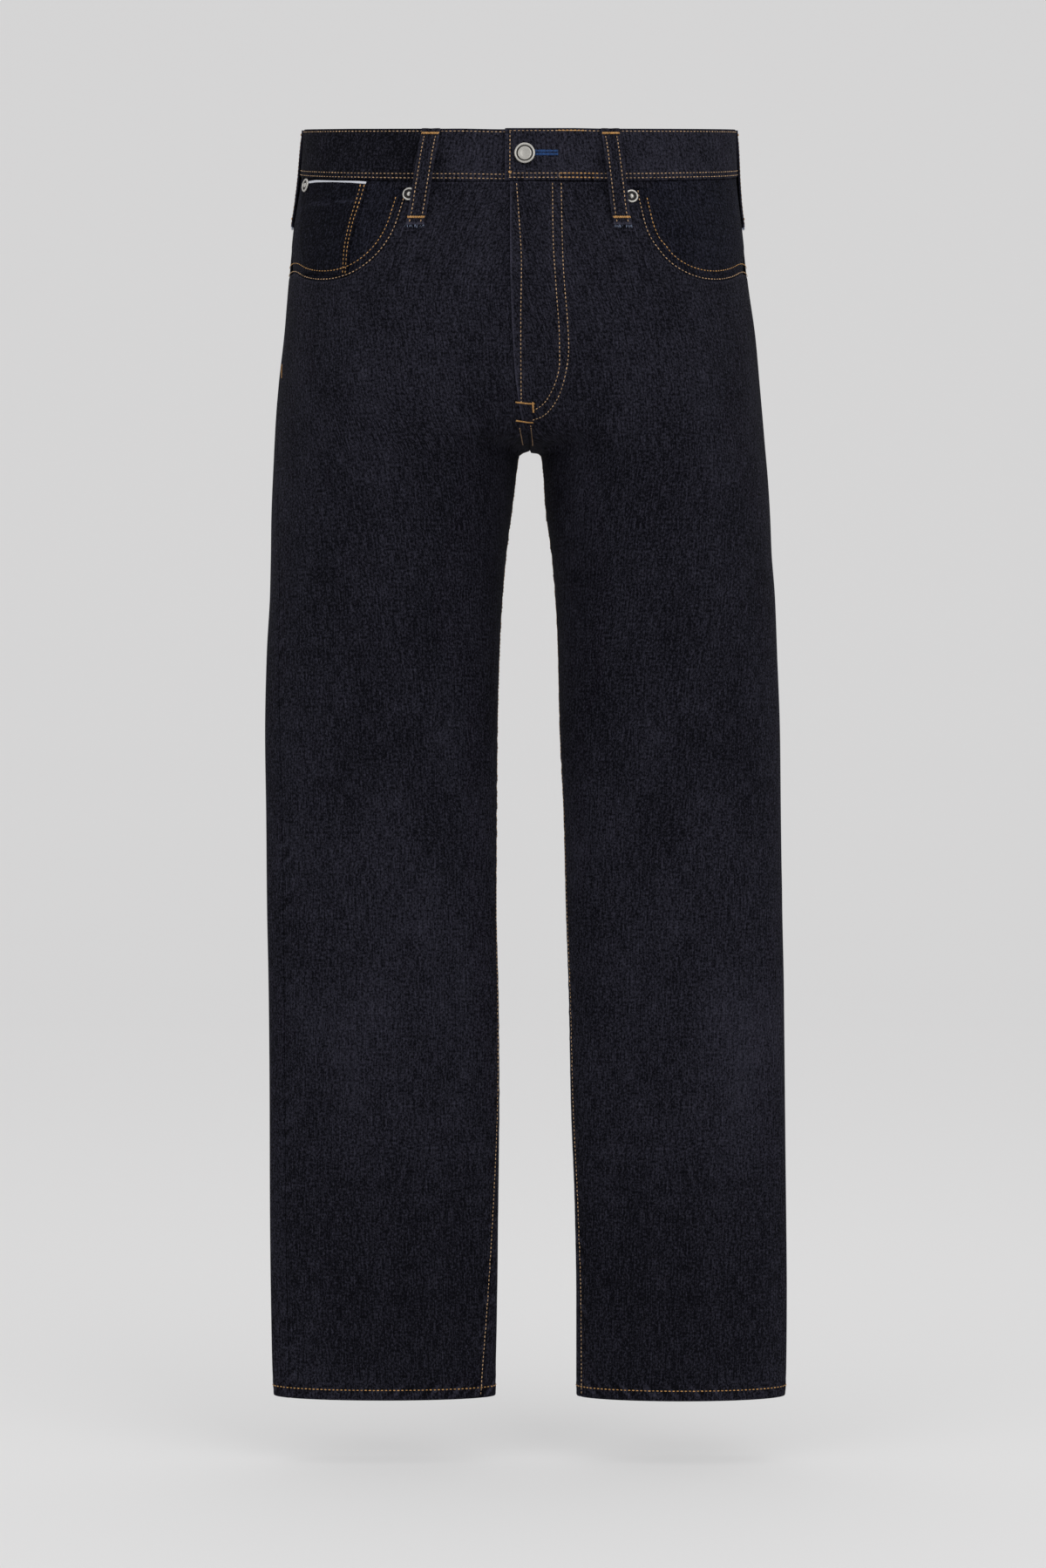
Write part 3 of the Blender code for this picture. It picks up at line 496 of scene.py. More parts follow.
def denim_material(name, deep, pale, amount=1.0):
    """Raw denim: a steep twill with uneven, slubby warp and pale weft specks."""
    made, nodes, links, shader = new_material(name, deep, 0.92, 0.0, 0.05)
    uv = node(nodes, "ShaderNodeUVMap", uv_map="weave")
    split = nodes.new("ShaderNodeSeparateXYZ")
    links.new(uv.outputs["UV"], split.inputs[0])
    u, v = split.outputs["X"], split.outputs["Y"]

    def stretched(across_scale, along_scale, detail, rough=0.6):
        scale = node(nodes, "ShaderNodeMapping")
        scale.inputs["Scale"].default_value = (across_scale, along_scale, 1.0)
        links.new(uv.outputs["UV"], scale.inputs["Vector"])
        noise = node(nodes, "ShaderNodeTexNoise", Scale=1.0, Detail=detail, Roughness=rough)
        links.new(scale.outputs["Vector"], noise.inputs["Vector"])
        return noise.outputs["Fac"]

    warp = stretched(900.0, 75.0, 2.0)
    slub = stretched(330.0, 20.0, 2.0)
    grain = stretched(640.0, 460.0, 3.0, 0.75)
    cloudy = stretched(22.0, 11.0, 3.0)
    wander = maths(nodes, links, "MULTIPLY", maths(nodes, links, "SUBTRACT", grain, 0.5), 2.2)
    slope = maths(nodes, links, "ADD", maths(nodes, links, "MULTIPLY", u, 0.78), v)
    turns = maths(nodes, links, "MULTIPLY", slope, 2 * np.pi / 0.00145)
    twill = maths(nodes, links, "SINE", maths(nodes, links, "ADD", turns, wander))

    light = maths(nodes, links, "MULTIPLY", maths(nodes, links, "SUBTRACT", grain, 0.5), 8.0)
    light = maths(nodes, links, "MULTIPLY_ADD", maths(nodes, links, "SUBTRACT", warp, 0.5), 3.6, light)
    light = maths(nodes, links, "MULTIPLY_ADD", maths(nodes, links, "SUBTRACT", slub, 0.5), 0.9, light)
    light = maths(nodes, links, "MULTIPLY_ADD", twill, 0.20, light)
    light = maths(nodes, links, "MULTIPLY_ADD", maths(nodes, links, "SUBTRACT", cloudy, 0.5), 1.3, light)
    # The pale attribute: real fading at edges, seams and patches, plus painted light and shade across the
    # waistband and the front below it.
    wear_and_painted_light = node(nodes, "ShaderNodeAttribute", attribute_name="pale")
    light = maths(nodes, links, "MULTIPLY_ADD", wear_and_painted_light.outputs["Fac"], 2.1, light)
    share = maths(nodes, links, "MULTIPLY_ADD", light, 0.32 * amount, 0.185)
    share = maths(nodes, links, "MAXIMUM", share, 0.0)
    mix = node(nodes, "ShaderNodeMix", data_type="RGBA")
    links.new(share, mix.inputs["Factor"])
    for socket, value in zip([s for s in mix.inputs if s.name in "AB" and s.type == "RGBA"], (deep, pale)):
        socket.default_value = (*value, 1.0)
    links.new([s for s in mix.outputs if s.type == "RGBA"][0], shader.inputs["Base Color"])
    height = maths(nodes, links, "MULTIPLY_ADD", twill, 0.25, light)
    bump = node(nodes, "ShaderNodeBump", Strength=0.45, Distance=0.0003)
    links.new(height, bump.inputs["Height"])
    links.new(bump.outputs["Normal"], shader.inputs["Normal"])
    return made


def thread_material(name, colour, spread):
    """Spun thread: each stitch has its own tone."""
    made, nodes, links, shader = new_material(name, colour, 0.6, 0.0, 0.3)
    tone = node(nodes, "ShaderNodeAttribute", attribute_name="tone")
    place_in = nodes.new("ShaderNodeTexCoord")
    noise = node(nodes, "ShaderNodeTexNoise", Scale=2600.0, Detail=1.0)
    links.new(place_in.outputs["Object"], noise.inputs["Vector"])
    level = maths(nodes, links, "MULTIPLY_ADD", tone.outputs["Fac"], spread, 1.0 - spread / 2)
    twist = maths(nodes, links, "MULTIPLY_ADD", noise.outputs["Fac"], 0.7, 0.65)
    level = maths(nodes, links, "MULTIPLY", level, twist)
    tint = node(nodes, "ShaderNodeVectorMath", operation="SCALE")
    tint.inputs[0].default_value = colour
    links.new(level, tint.inputs["Scale"])
    links.new(tint.outputs["Vector"], shader.inputs["Base Color"])
    bump = node(nodes, "ShaderNodeBump", Strength=0.4, Distance=0.0001)
    links.new(noise.outputs["Fac"], bump.inputs["Height"])
    links.new(bump.outputs["Normal"], shader.inputs["Normal"])
    return made


def metal_material(name, colour, rough):
    """Satin plated steel with fine scuffs."""
    made, nodes, links, shader = new_material(name, colour, rough, 1.0)
    place_in = nodes.new("ShaderNodeTexCoord")
    noise = node(nodes, "ShaderNodeTexNoise", Scale=900.0, Detail=3.0)
    links.new(place_in.outputs["Object"], noise.inputs["Vector"])
    rub = maths(nodes, links, "MULTIPLY_ADD", noise.outputs["Fac"], 0.24, rough - 0.12)
    links.new(rub, shader.inputs["Roughness"])
    bump = node(nodes, "ShaderNodeBump", Strength=0.12, Distance=0.0001)
    links.new(noise.outputs["Fac"], bump.inputs["Height"])
    links.new(bump.outputs["Normal"], shader.inputs["Normal"])
    return made


# --- shells --------------------------------------------------------------------------------


def rolled(distance, radius, deep):
    """How far cloth turns down within a radius of its edge."""
    t = 1 - np.clip(distance / radius, 0, 1)
    return -deep * (1 - np.sqrt(np.clip(1 - t * t, 0, 1)))


def shares(count, long, tight=0.0005):
    """Shares of a length, with a few close rows at each end for the rolled edge."""
    ends = np.array([0.0, 1.0, 2.4, 4.6]) * tight / long
    return np.concatenate([ends, np.linspace(ends[-1], 1 - ends[-1], count)[1:-1], 1 - ends[::-1]])


def run_of(points, axis, backwards=False):
    """Length along a grid's rows or columns from one border."""
    steps = np.linalg.norm(np.diff(points, axis=axis), axis=2)
    if backwards:
        steps = np.flip(steps, axis)
    run = np.concatenate([np.zeros_like(steps.take([0], axis)), np.cumsum(steps, axis)], axis)
    return np.flip(run, axis) if backwards else run


def grid_into(bm, points, weave, pale):
    """Adds a grid of points as an open sheet."""
    rows, columns = points.shape[:2]
    made = bmesh.ops.create_grid(bm, x_segments=columns - 1, y_segments=rows - 1, size=0.5)["verts"]
    u_layer, v_layer = bm.verts.layers.float["u"], bm.verts.layers.float["v"]
    pale_layer = bm.verts.layers.float["pale"]
    for vert in made:
        j = int(round((vert.co.x + 0.5) * (columns - 1)))
        i = int(round((vert.co.y + 0.5) * (rows - 1)))
        vert.co = points[i, j]
        vert[u_layer], vert[v_layer] = weave[i, j]
        vert[pale_layer] = pale[i, j]


def shell(name, sheets, look):
    """One object from several (points, thickness, weave, pale, out) grids, each a closed sheet."""
    bm = bmesh.new()
    for layer in ("u", "v", "pale"):
        bm.verts.layers.float.new(layer)
    for points, thick, weave, pale, out in sheets:
        part = bmesh.new()
        for layer in ("u", "v", "pale"):
            part.verts.layers.float.new(layer)
        grid_into(part, points, weave, pale)
        bmesh.ops.recalc_face_normals(part, faces=part.faces[:])
        part.normal_update()
        rows, columns = points.shape[:2]
        centre = Vector(points[rows // 2, columns // 2])
        middle = min(part.faces, key=lambda face: (face.calc_center_median() - centre).length)
        facing = out[rows // 2, columns // 2]
        if middle.normal.dot(Vector(facing)) < 0:
            bmesh.ops.reverse_faces(part, faces=part.faces[:])
            part.normal_update()
        bmesh.ops.solidify(part, geom=part.faces[:], thickness=thick)
        bmesh.ops.recalc_face_normals(part, faces=part.faces[:])
        temporary = bpy.data.meshes.new("part")
        part.to_mesh(temporary)
        part.free()
        bm.from_mesh(temporary)
        bpy.data.meshes.remove(temporary)
    mesh = bpy.data.meshes.new(f"{name}_cloth")
    bm.to_mesh(mesh)
    bm.free()
    across, along = np.empty(len(mesh.vertices)), np.empty(len(mesh.vertices))
    mesh.attributes["u"].data.foreach_get("value", across)
    mesh.attributes["v"].data.foreach_get("value", along)
    corner = np.empty(len(mesh.loops), int)
    mesh.loops.foreach_get("vertex_index", corner)
    weave_map = mesh.uv_layers.new(name="weave")
    weave_map.data.foreach_set("uv", np.column_stack([across[corner], along[corner]]).ravel())
    mesh.shade_smooth()
    mesh.materials.append(look)
    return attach(linked(f"{name}_cloth", mesh), "root")


def cloth(side, level, across, lift=0.0, thick=CLOTH, edges="", roll=(0.0022, 0.0005), pale=0.0):
    """A grid for shell(), rolled down at the borders named in edges: t, b, l, r."""
    level, across = np.broadcast_arrays(np.asarray(level, float), np.asarray(across, float))
    plain = place(side, level, across)
    lift = np.zeros(level.shape) + lift
    for letter, axis, backwards in (("t", 0, False), ("b", 0, True), ("l", 1, False), ("r", 1, True)):
        if letter in edges:
            lift = lift + rolled(run_of(plain, axis, backwards), *roll)
    points, out = skin(side, level, across, lift)
    lengths = sample(chart(side)[2], level, across)
    weave = np.stack([lengths[..., 0], plain[..., 2]], axis=-1)
    return points, thick, weave, np.zeros(level.shape) + pale, out


def as_sheet(made, node_name, rests_on):
    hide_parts(node_name)
    return made


# --- stitches ------------------------------------------------------------------------------


def bead_template(ring=6, rows=5):
    """A small rounded bead along X, one long, one wide and one high."""
    bm = bmesh.new()
    bmesh.ops.create_uvsphere(bm, u_segments=ring, v_segments=rows, radius=0.5)
    bmesh.ops.rotate(bm, verts=bm.verts[:], cent=(0, 0, 0), matrix=Matrix.Rotation(np.pi / 2, 3, "Y"))
    bm.verts.ensure_lookup_table()
    points = np.array([v.co[:] for v in bm.verts])
    faces = [[v.index for v in face.verts] for face in bm.faces]
    bm.free()
    return points, faces


BEAD_POINTS, BEAD_FACES = bead_template()


def beads(name, spots, look):
    """Joined beads, one for each (centre, ahead, out, length, width, height)."""
    points, faces, tones = [], [], []
    for centre, ahead, out, long, wide, high in spots:
        beside = np.cross(out, ahead)
        beside /= np.linalg.norm(beside)
        up = np.cross(ahead, beside)
        first = len(points) * len(BEAD_POINTS)
        local = BEAD_POINTS * (long, wide, high)
        points.append(centre + local[:, :1] * ahead + local[:, 1:2] * beside + local[:, 2:] * up)
        faces += [[first + k for k in face] for face in BEAD_FACES]
        tones.append(np.full(len(BEAD_POINTS), rng.random()))
    mesh = bpy.data.meshes.new(name)
    mesh.from_pydata(np.concatenate(points).tolist(), [], faces)
    mesh.attributes.new("tone", "FLOAT", "POINT").data.foreach_set("value", np.concatenate(tones))
    mesh.shade_smooth()
    mesh.materials.append(look)
    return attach(linked(name, mesh), "root")


PITCH, STITCH_LONG, STITCH_WIDE, STITCH_HIGH = 0.0034, 0.0021, 0.00074, 0.00060


def even(points, pitch):
    """Centres and directions every pitch along a line of points."""
    run = run_along(points)
    count = max(int(round(run[-1] / pitch)), 1)
    at = (np.arange(count) + 0.5) * run[-1] / count
    centre = np.column_stack([np.interp(at, run, points[:, k]) for k in range(3)])
    before = np.column_stack([np.interp(at - pitch / 2, run, points[:, k]) for k in range(3)])
    after = np.column_stack([np.interp(at + pitch / 2, run, points[:, k]) for k in range(3)])
    ahead = after - before
    return centre, ahead / np.linalg.norm(ahead, axis=1, keepdims=True), at


def row_of(side, spots, lift, pitch=PITCH, long=STITCH_LONG, wide=STITCH_WIDE, high=STITCH_HIGH, count=160):
    """A row of stitches through (level, across) spots. lift is a number or a function of level and across."""
    spots = np.array(spots, float)
    reach = run_along(place(side, *spots.T))
    at = np.linspace(0, reach[-1], count)
    level, across = np.interp(at, reach, spots[:, 0]), np.interp(at, reach, spots[:, 1])
    height = lift(level, across) if callable(lift) else lift
    points, out = skin(side, level, across, height)
    centre, ahead, where = even(points, pitch)
    run = run_along(points)
    outs = np.column_stack([np.interp(where, run, out[:, k]) for k in range(3)])
    found = []
    for c, a, o in zip(centre, ahead, outs):
        wobble = 1 + 0.10 * (rng.random() - 0.5)
        found.append((c + o * 0.0001, a, o / np.linalg.norm(o), long * wobble, wide * wobble, high))
    return found


def bartack(side, first, last, lift, tall=0.0022, pitch=0.00055):
    """A short bar of close stitches laid across a line between two (level, across) spots."""
    line = row_of(side, [first, last], lift, pitch=pitch, count=12)
    turned = []
    for centre, ahead, out, *_ in line:
        side_way = np.cross(out, ahead)
        tilt = side_way + 0.25 * ahead * rng.choice([-1.0, 1.0])
        turned.append((centre, tilt / np.linalg.norm(tilt), out, tall, 0.00065, 0.0008))
    return turned


def spots_of(side, points, **start):
    """(level, across) spots of (x, z) points on the front, x from the centre line."""
    return [locate(side, x, z, **start) for x, z in points]


# --- the fly's lap and the pockets ---------------------------------------------------------

WAIST_LEVEL = WAIST_SEAM + 0.004
FLY_FOOT = 6.6


def fly_lap(side, level):
    """How far past the centre the front reaches."""
    level = np.asarray(level, float)
    if side == RIGHT:
        return np.full(level.shape, -SEAM / 2)
    lap = np.where(level < 5, 0.0085, 0.0085 - 0.0030 * (level - 5) / 1.6)
    return np.where(level >= FLY_FOOT, -SEAM / 2, lap)


def fly_lift(side, level, across):
    if side == RIGHT:
        return np.zeros(np.broadcast(level, across).shape)
    half = sample(chart(side)[2], level, np.full(np.shape(level), -1.0))[..., 0]
    from_centre = (across + 1) * abs(half)
    fade = smooth((CROTCH + 1.0 - level) / 1.6)
    return FLY_STEP * smooth((FLY_WIDE + 0.012 - from_centre) / FLY_WIDE) * fade


@lru_cache(None)
def mouth(side):
    """The pocket mouth as (level, across) spots, from the waist seam to the side seam."""
    top = locate(side, MOUTH_TOP[side], -0.052)
    spots = [(WAIST_SEAM, top[1])]
    for m in MOUTH:
        spots.append(locate(side, m.right if side == RIGHT else m.left, m.z))
    spots = [(v, s) for v, s in spots if s < -0.02]
    spots.append((MOUTH_END, 0.0))
    return spots


def along(side, spots, at):
    """Spots at shares of the length of a line of (level, across) spots, rounded by a curve through them."""
    spots = np.array(spots, float)
    here = place(side, spots[:, 0], spots[:, 1])
    run = run_along(here)
    run /= run[-1]
    tilt = np.gradient(spots, run, axis=0)
    i = np.clip(np.searchsorted(run, at, side="right") - 1, 0, len(run) - 2)
    long = (run[i + 1] - run[i])[:, None]
    t = ((at - run[i]) / long[:, 0])[:, None]
    return hermite(t, spots[i], long * tilt[i], spots[i + 1], long * tilt[i + 1])


def beside_mouth(side, offset, count=60):
    """Spots a distance below the pocket mouth, on the front."""
    line = along(side, mouth(side), np.linspace(0, 1, count))
    here = place(side, line[:, 0], line[:, 1])
    ahead = np.gradient(here, axis=0)
    out = normal(side, line[:, 0], line[:, 1])
    away = np.cross(out, ahead) * side
    away /= np.linalg.norm(away, axis=1, keepdims=True)
    by_level = (place(side, line[:, 0] + 0.05, line[:, 1]) - here) / 0.05
    by_across = (place(side, line[:, 0], line[:, 1] + 0.02) - here) / 0.02
    found = []
    for k in range(count):
        frame_at = np.column_stack([by_level[k], by_across[k], out[k]])
        step = np.linalg.solve(frame_at, away[k] * offset)
        found.append((line[k, 0] + step[0], line[k, 1] + step[1]))
    return np.array(found)


# --- the garment's pieces ------------------------------------------------------------------

# Soft patches of tone, lighter above zero: centre, half width and half height, seen on one face.
Patch = namedtuple("Patch", "face x z wide tall amount")
PATCHES = [
    Patch(-1, 0.185, -0.770, 0.050, 0.110, 0.21),
    Patch(-1, -0.110, -0.720, 0.060, 0.120, 0.14),
    Patch(-1, 0.110, -0.480, 0.070, 0.090, -0.06),
    Patch(-1, -0.110, -0.470, 0.080, 0.100, -0.06),
    Patch(-1, 0.120, -0.960, 0.120, 0.080, -0.16),
    Patch(-1, -0.120, -0.960, 0.120, 0.080, -0.16),
    Patch(-1, 0.000, -0.150, 0.160, 0.080, 0.06),
    # Painted light and shade: these two darken the wearer's right front under the waistband and lighten the
    # left, as the light falls.
    Patch(-1, -0.110, -0.018, 0.080, 0.026, -0.22),
    Patch(-1, 0.060, -0.018, 0.060, 0.026, 0.16),
    Patch(1, 0.110, -0.200, 0.060, 0.060, 0.15),
    Patch(1, -0.110, -0.200, 0.060, 0.060, 0.15),
    Patch(1, 0.110, -0.600, 0.080, 0.080, 0.10),
    Patch(1, -0.110, -0.600, 0.080, 0.080, 0.10),
]


def tone_of(points, across):
    total = np.zeros(points.shape[:-1])
    for p in PATCHES:
        far = ((points[..., 0] - p.x) / p.wide) ** 2 + ((points[..., 2] - p.z) / p.tall) ** 2
        total += p.amount * np.exp(-far) * (across * p.face > 0)
    return total


def roping(side, level, across):
    """Paler ridges where a seam or a hem puckers."""
    points = place(side, level, across)
    lengths = sample(chart(side)[2], level, across)
    height = puckered(side, level, across, lengths, points[..., 2])
    return 0.55 * np.clip(height / 0.0004, -0.5, 1.0)


LEG_STEP, HEM_STEP = 0.0056, 0.0020


def leg_levels(side):
    """Levels evenly spaced down the leg, close together at the hem."""
    levels = np.arange(HIP_LINE, HEM + 0.001, 0.02)
    z = place(side, levels, -0.5)[:, 2]
    bottom = z[-1]
    upper = np.arange(z[0] - LEG_STEP, bottom + 0.028, -LEG_STEP)
    lower = np.arange(upper[-1] - HEM_STEP, bottom + 0.0030, -HEM_STEP)
    end = bottom + np.array([0.0024, 0.0012, 0.0005, 0.0])
    return np.interp(-np.concatenate([upper, lower, end]), -z, levels)


def hem_fold(side, across):
    """The hem's turned up layer, inside the leg."""
    levels = leg_levels(side)
    z = place(side, levels, -0.5)[:, 2]
    levels = levels[(z < z[-1] + HEM_DEEP)]
    return cloth(side, levels[:, None], across[None, :], -CLOTH - SEAM, CLOTH, "tb")


def gap_of(side, level):
    return SEAM / 2 / long_of(side, level, 1)


def front(side, look):
    name = f"front_{word_of(side)}"
    count_waist, count_mouth, split = 30, 50, 0.38
    first = shares(count_waist, 0.10)[: count_waist + 4]
    last = shares(count_mouth, 0.16)
    columns = np.concatenate([split * first[:-4], split + (1 - split) * last[4:]])
    columns = np.concatenate([[0.0], columns[1:-1], [1.0]])
    half = long_of(side, 1.0, -1)
    start = -1 - float(fly_lap(side, 1.0)) / half
    curve = mouth(side)
    edge = along(side, [(WAIST_LEVEL, curve[0][1])] + curve[1:-1] + [(MOUTH_END, -gap_of(side, 3))],
                 np.clip((columns - split) / (1 - split), 0, 1))
    waist = start + (curve[0][1] - start) * np.clip(columns / split, 0, 1)
    straight = np.column_stack([np.full(len(columns), WAIST_LEVEL), waist])
    top = np.where((columns <= split)[:, None], straight, edge)

    def line(level):
        begin = -1 - float(fly_lap(side, level)) / long_of(side, level, -1)
        across = begin + (-gap_of(side, level) - begin) * columns
        return np.column_stack([np.full(len(columns), level), across])

    low = line(HIP_LINE)
    down = shares(34, 0.125)[:-4]
    rows = [(1 - t) * top + t * low for t in down] + [low] + [line(level) for level in leg_levels(side)]
    spots = np.array(rows)
    level, across = spots[..., 0], spots[..., 1]
    plain = place(side, level, across)
    pale = tone_of(plain, -np.ones(level.shape)) + roping(side, level, across)
    pale += 0.30 * hump(run_of(plain, 0), 0.0014)
    if side == LEFT:
        pale += 0.75 * hump(run_of(plain, 1), 0.0016) * (level < FLY_FOOT)
    sheet = cloth(side, level, across, fly_lift(side, level, across), CLOTH, "tblr", pale=pale)
    fold = hem_fold(side, np.linspace(-1 + gap_of(side, HEM), -gap_of(side, HEM), 60))
    made = shell(name, [sheet, fold], look)
    return as_sheet(made, name, [f"back_{word_of(side)}", "waistband"])


def yoke_level(across):
    return 1.80 + 0.55 * across


def back(side, look):
    name = f"back_{word_of(side)}"
    gap = gap_of(side, 5)
    across = gap + (1 - 2 * gap) * shares(80, 0.24)
    rows = []
    for t in shares(34, 0.14)[:-4]:
        rows.append(np.column_stack([(yoke_level(across) + 0.004) * (1 - t) + HIP_LINE * t, across]))
    for level in [HIP_LINE, *leg_levels(side)]:
        rows.append(np.column_stack([np.full(len(across), level), across]))
    spots = np.array(rows)
    level, wide = spots[..., 0], spots[..., 1]
    pale = tone_of(place(side, level, wide), np.ones(level.shape)) + roping(side, level, wide)
    sheet = cloth(side, level, wide, 0.0, CLOTH, "tblr", pale=pale)
    fold = hem_fold(side, np.linspace(gap, 1 - gap, 60))
    made = shell(name, [sheet, fold], look)
    return as_sheet(made, name, [f"front_{word_of(side)}", f"yoke_{word_of(side)}"])


def yoke(side, look):
    name = f"yoke_{word_of(side)}"
    gap = gap_of(side, 1.5)
    across = (gap + (1 - 2 * gap) * shares(70, 0.20))[None, :]
    t = shares(18, 0.05)[:, None]
    level = WAIST_LEVEL * (1 - t) + (yoke_level(across) - 0.004) * t
    made = shell(name, [cloth(side, level, across, 0.0, CLOTH, "tblr")], look)
    return as_sheet(made, name, [f"back_{word_of(side)}", "waistband"])


@lru_cache(None)
def mouth_points(side):
    line = along(side, mouth(side), np.linspace(0, 1, 80))
    return place(side, line[:, 0], line[:, 1])


def sunk(side, level, across):
    """How deep the cloth behind a pocket mouth lies: deepest under the front, level with it further in."""
    here, line = place(side, level, across), mouth_points(side)
    gaps = np.linalg.norm(here[..., None, :] - line, axis=-1)
    near = line[np.argmin(gaps, axis=-1)]
    x, z = np.full(here.shape[:-1], side * 0.165), np.full(here.shape[:-1], -0.075)
    middle = np.stack([x, here[..., 1], z], -1)
    under = ((here - near)[..., [0, 2]] * (near - middle)[..., [0, 2]]).sum(-1) > 0
    return np.where(under, POCKET_DEEP, POCKET_DEEP * (1 - smooth(gaps.min(-1) / 0.028)))


def facing(side, look):
    name = f"facing_{word_of(side)}"
    count, corner, rows = 60, 0.62, 30
    at = np.linspace(0, 1, count)
    curve = along(side, mouth(side), at)
    centre = np.array([2.05, -0.20])
    grid = np.empty((rows, count, 2))
    for k, (t, spot) in enumerate(zip(at, curve)):
        first = np.array([WAIST_SEAM, curve[0][1] * (1 - min(t / corner, 1))])
        if t > corner:
            first = np.array([WAIST_SEAM + (MOUTH_END - WAIST_SEAM) * (t - corner) / (1 - corner), 0.0])
        inward = centre + (spot - centre) * 0.55
        here, there = place(side, *spot), place(side, *inward)
        last = spot + (spot - inward) * POCKET_UNDER / max(np.linalg.norm(here - there), 1e-6)
        grid[:-6, k] = first + (spot - first) * np.linspace(0, 1, rows - 6)[:, None]
        grid[-6:, k] = spot + (last - spot) * np.linspace(0, 1, 7)[1:, None]
    level = np.maximum(grid[..., 0], WAIST_LEVEL)
    across = np.minimum(grid[..., 1], -gap_of(side, 2))
    made = shell(name, [cloth(side, level, across, -sunk(side, level, across))], look)
    return as_sheet(made, name, [f"front_{word_of(side)}", "waistband"])


Coin = namedtuple("Coin", "inner z_inner z_side")
COIN = [
    Coin(0.1235, -0.0580, -0.0475),
    Coin(0.1280, -0.0740, -0.0650),
    Coin(0.1335, -0.0900, -0.0820),
    Coin(0.1375, -0.1060, -0.0990),
    Coin(0.1405, -0.1220, -0.1150),
    Coin(0.1430, -0.1370, -0.1290),
]
COIN_OUTER, COIN_THICK = 0.1820, 0.0010


@lru_cache(None)
def coin_spots():
    rows = []
    for c in COIN:
        wide, rise = COIN_OUTER - c.inner, c.z_side - c.z_inner
        line = [(c.inner + wide * u, c.z_inner + rise * u) for u in np.linspace(0, 1, 5)]
        rows.append([locate(RIGHT, x, z) for x, z in line])
    return np.array(rows)


def coin_at(down, over):
    """(level, across) on the coin pocket: shares down from its top and over from its inner edge."""
    spots = between(coin_spots(), np.clip(down * 5, 0, 4.999), np.clip(over * 4, 0, 3.999))
    return np.maximum(spots[..., 0], WAIST_SEAM + 0.015), spots[..., 1]


def coin_lift(level, across, more=0.0):
    return 0.0008 + COIN_THICK + more - sunk(RIGHT, level, across)


def coin_pocket(look, selvedge_look):
    down, over = np.meshgrid(shares(34, 0.08), shares(28, 0.055), indexing="ij")
    level, across = coin_at(down, over)
    z = place(RIGHT, level, across)[..., 2]
    pale = 0.5 * hump(z + 0.0735 + 0.05 * (place(RIGHT, level, across)[..., 0] + 0.15), 0.0012) - 0.22
    sheet = cloth(RIGHT, level, across, coin_lift(level, across), COIN_THICK, "tblr", (0.0016, 0.0006), pale)
    made = shell("coin_pocket", [sheet], look)
    down, over = np.meshgrid(np.linspace(0.012, 0.036, 5), np.linspace(0.02, 0.86, 40), indexing="ij")
    level, across = coin_at(down, over)
    level = level + 0.012
    lift = coin_lift(level, across, 0.0006)
    ribbon = cloth(RIGHT, level, across, lift, 0.0005, "tb", (0.0008, 0.0003))
    edge = shell("coin_selvedge", [ribbon], selvedge_look)
    return as_sheet(made, "coin_pocket", ["facing_right"])


PATCH_FACE = 0.0009 + CLOTH  # a back pocket's face above the back panel


def patch_spots(t, u):
    """(level, across) on a back pocket: t 0 to 1 down it, u -1 to 1 over it."""
    half = 0.0780 - 0.0080 * t
    foot = 5.35 - 0.45 * abs(u)
    level = 2.62 + 0.18 * (1 + u) / 2 + (foot - 2.62) * t
    return level, 0.50 + u * half / 0.232


def back_pocket(side, look):
    name = f"back_pocket_{word_of(side)}"
    t, u = np.meshgrid(shares(44, 0.15), 2 * shares(40, 0.145) - 1, indexing="ij")
    level, across = patch_spots(t, u)
    made = shell(name, [cloth(side, level, across, PATCH_FACE, CLOTH, "tblr", (0.0020, 0.0008))], look)
    return as_sheet(made, name, [f"back_{word_of(side)}"])


def band_shift(side, from_centre):
    if side == LEFT:
        return BAND_STEP * smooth((0.075 - from_centre) / 0.035)
    return -BAND_STEP * smooth((0.050 - from_centre) / 0.035)


def band_lift(side):
    def lift(level, across):
        half = sample(chart(side)[2], np.full(np.shape(across), 0.5), np.full(np.shape(across), -1.0))[..., 0]
        return band_shift(side, (across + 1) * abs(half)) + BAND_OUT

    return lift


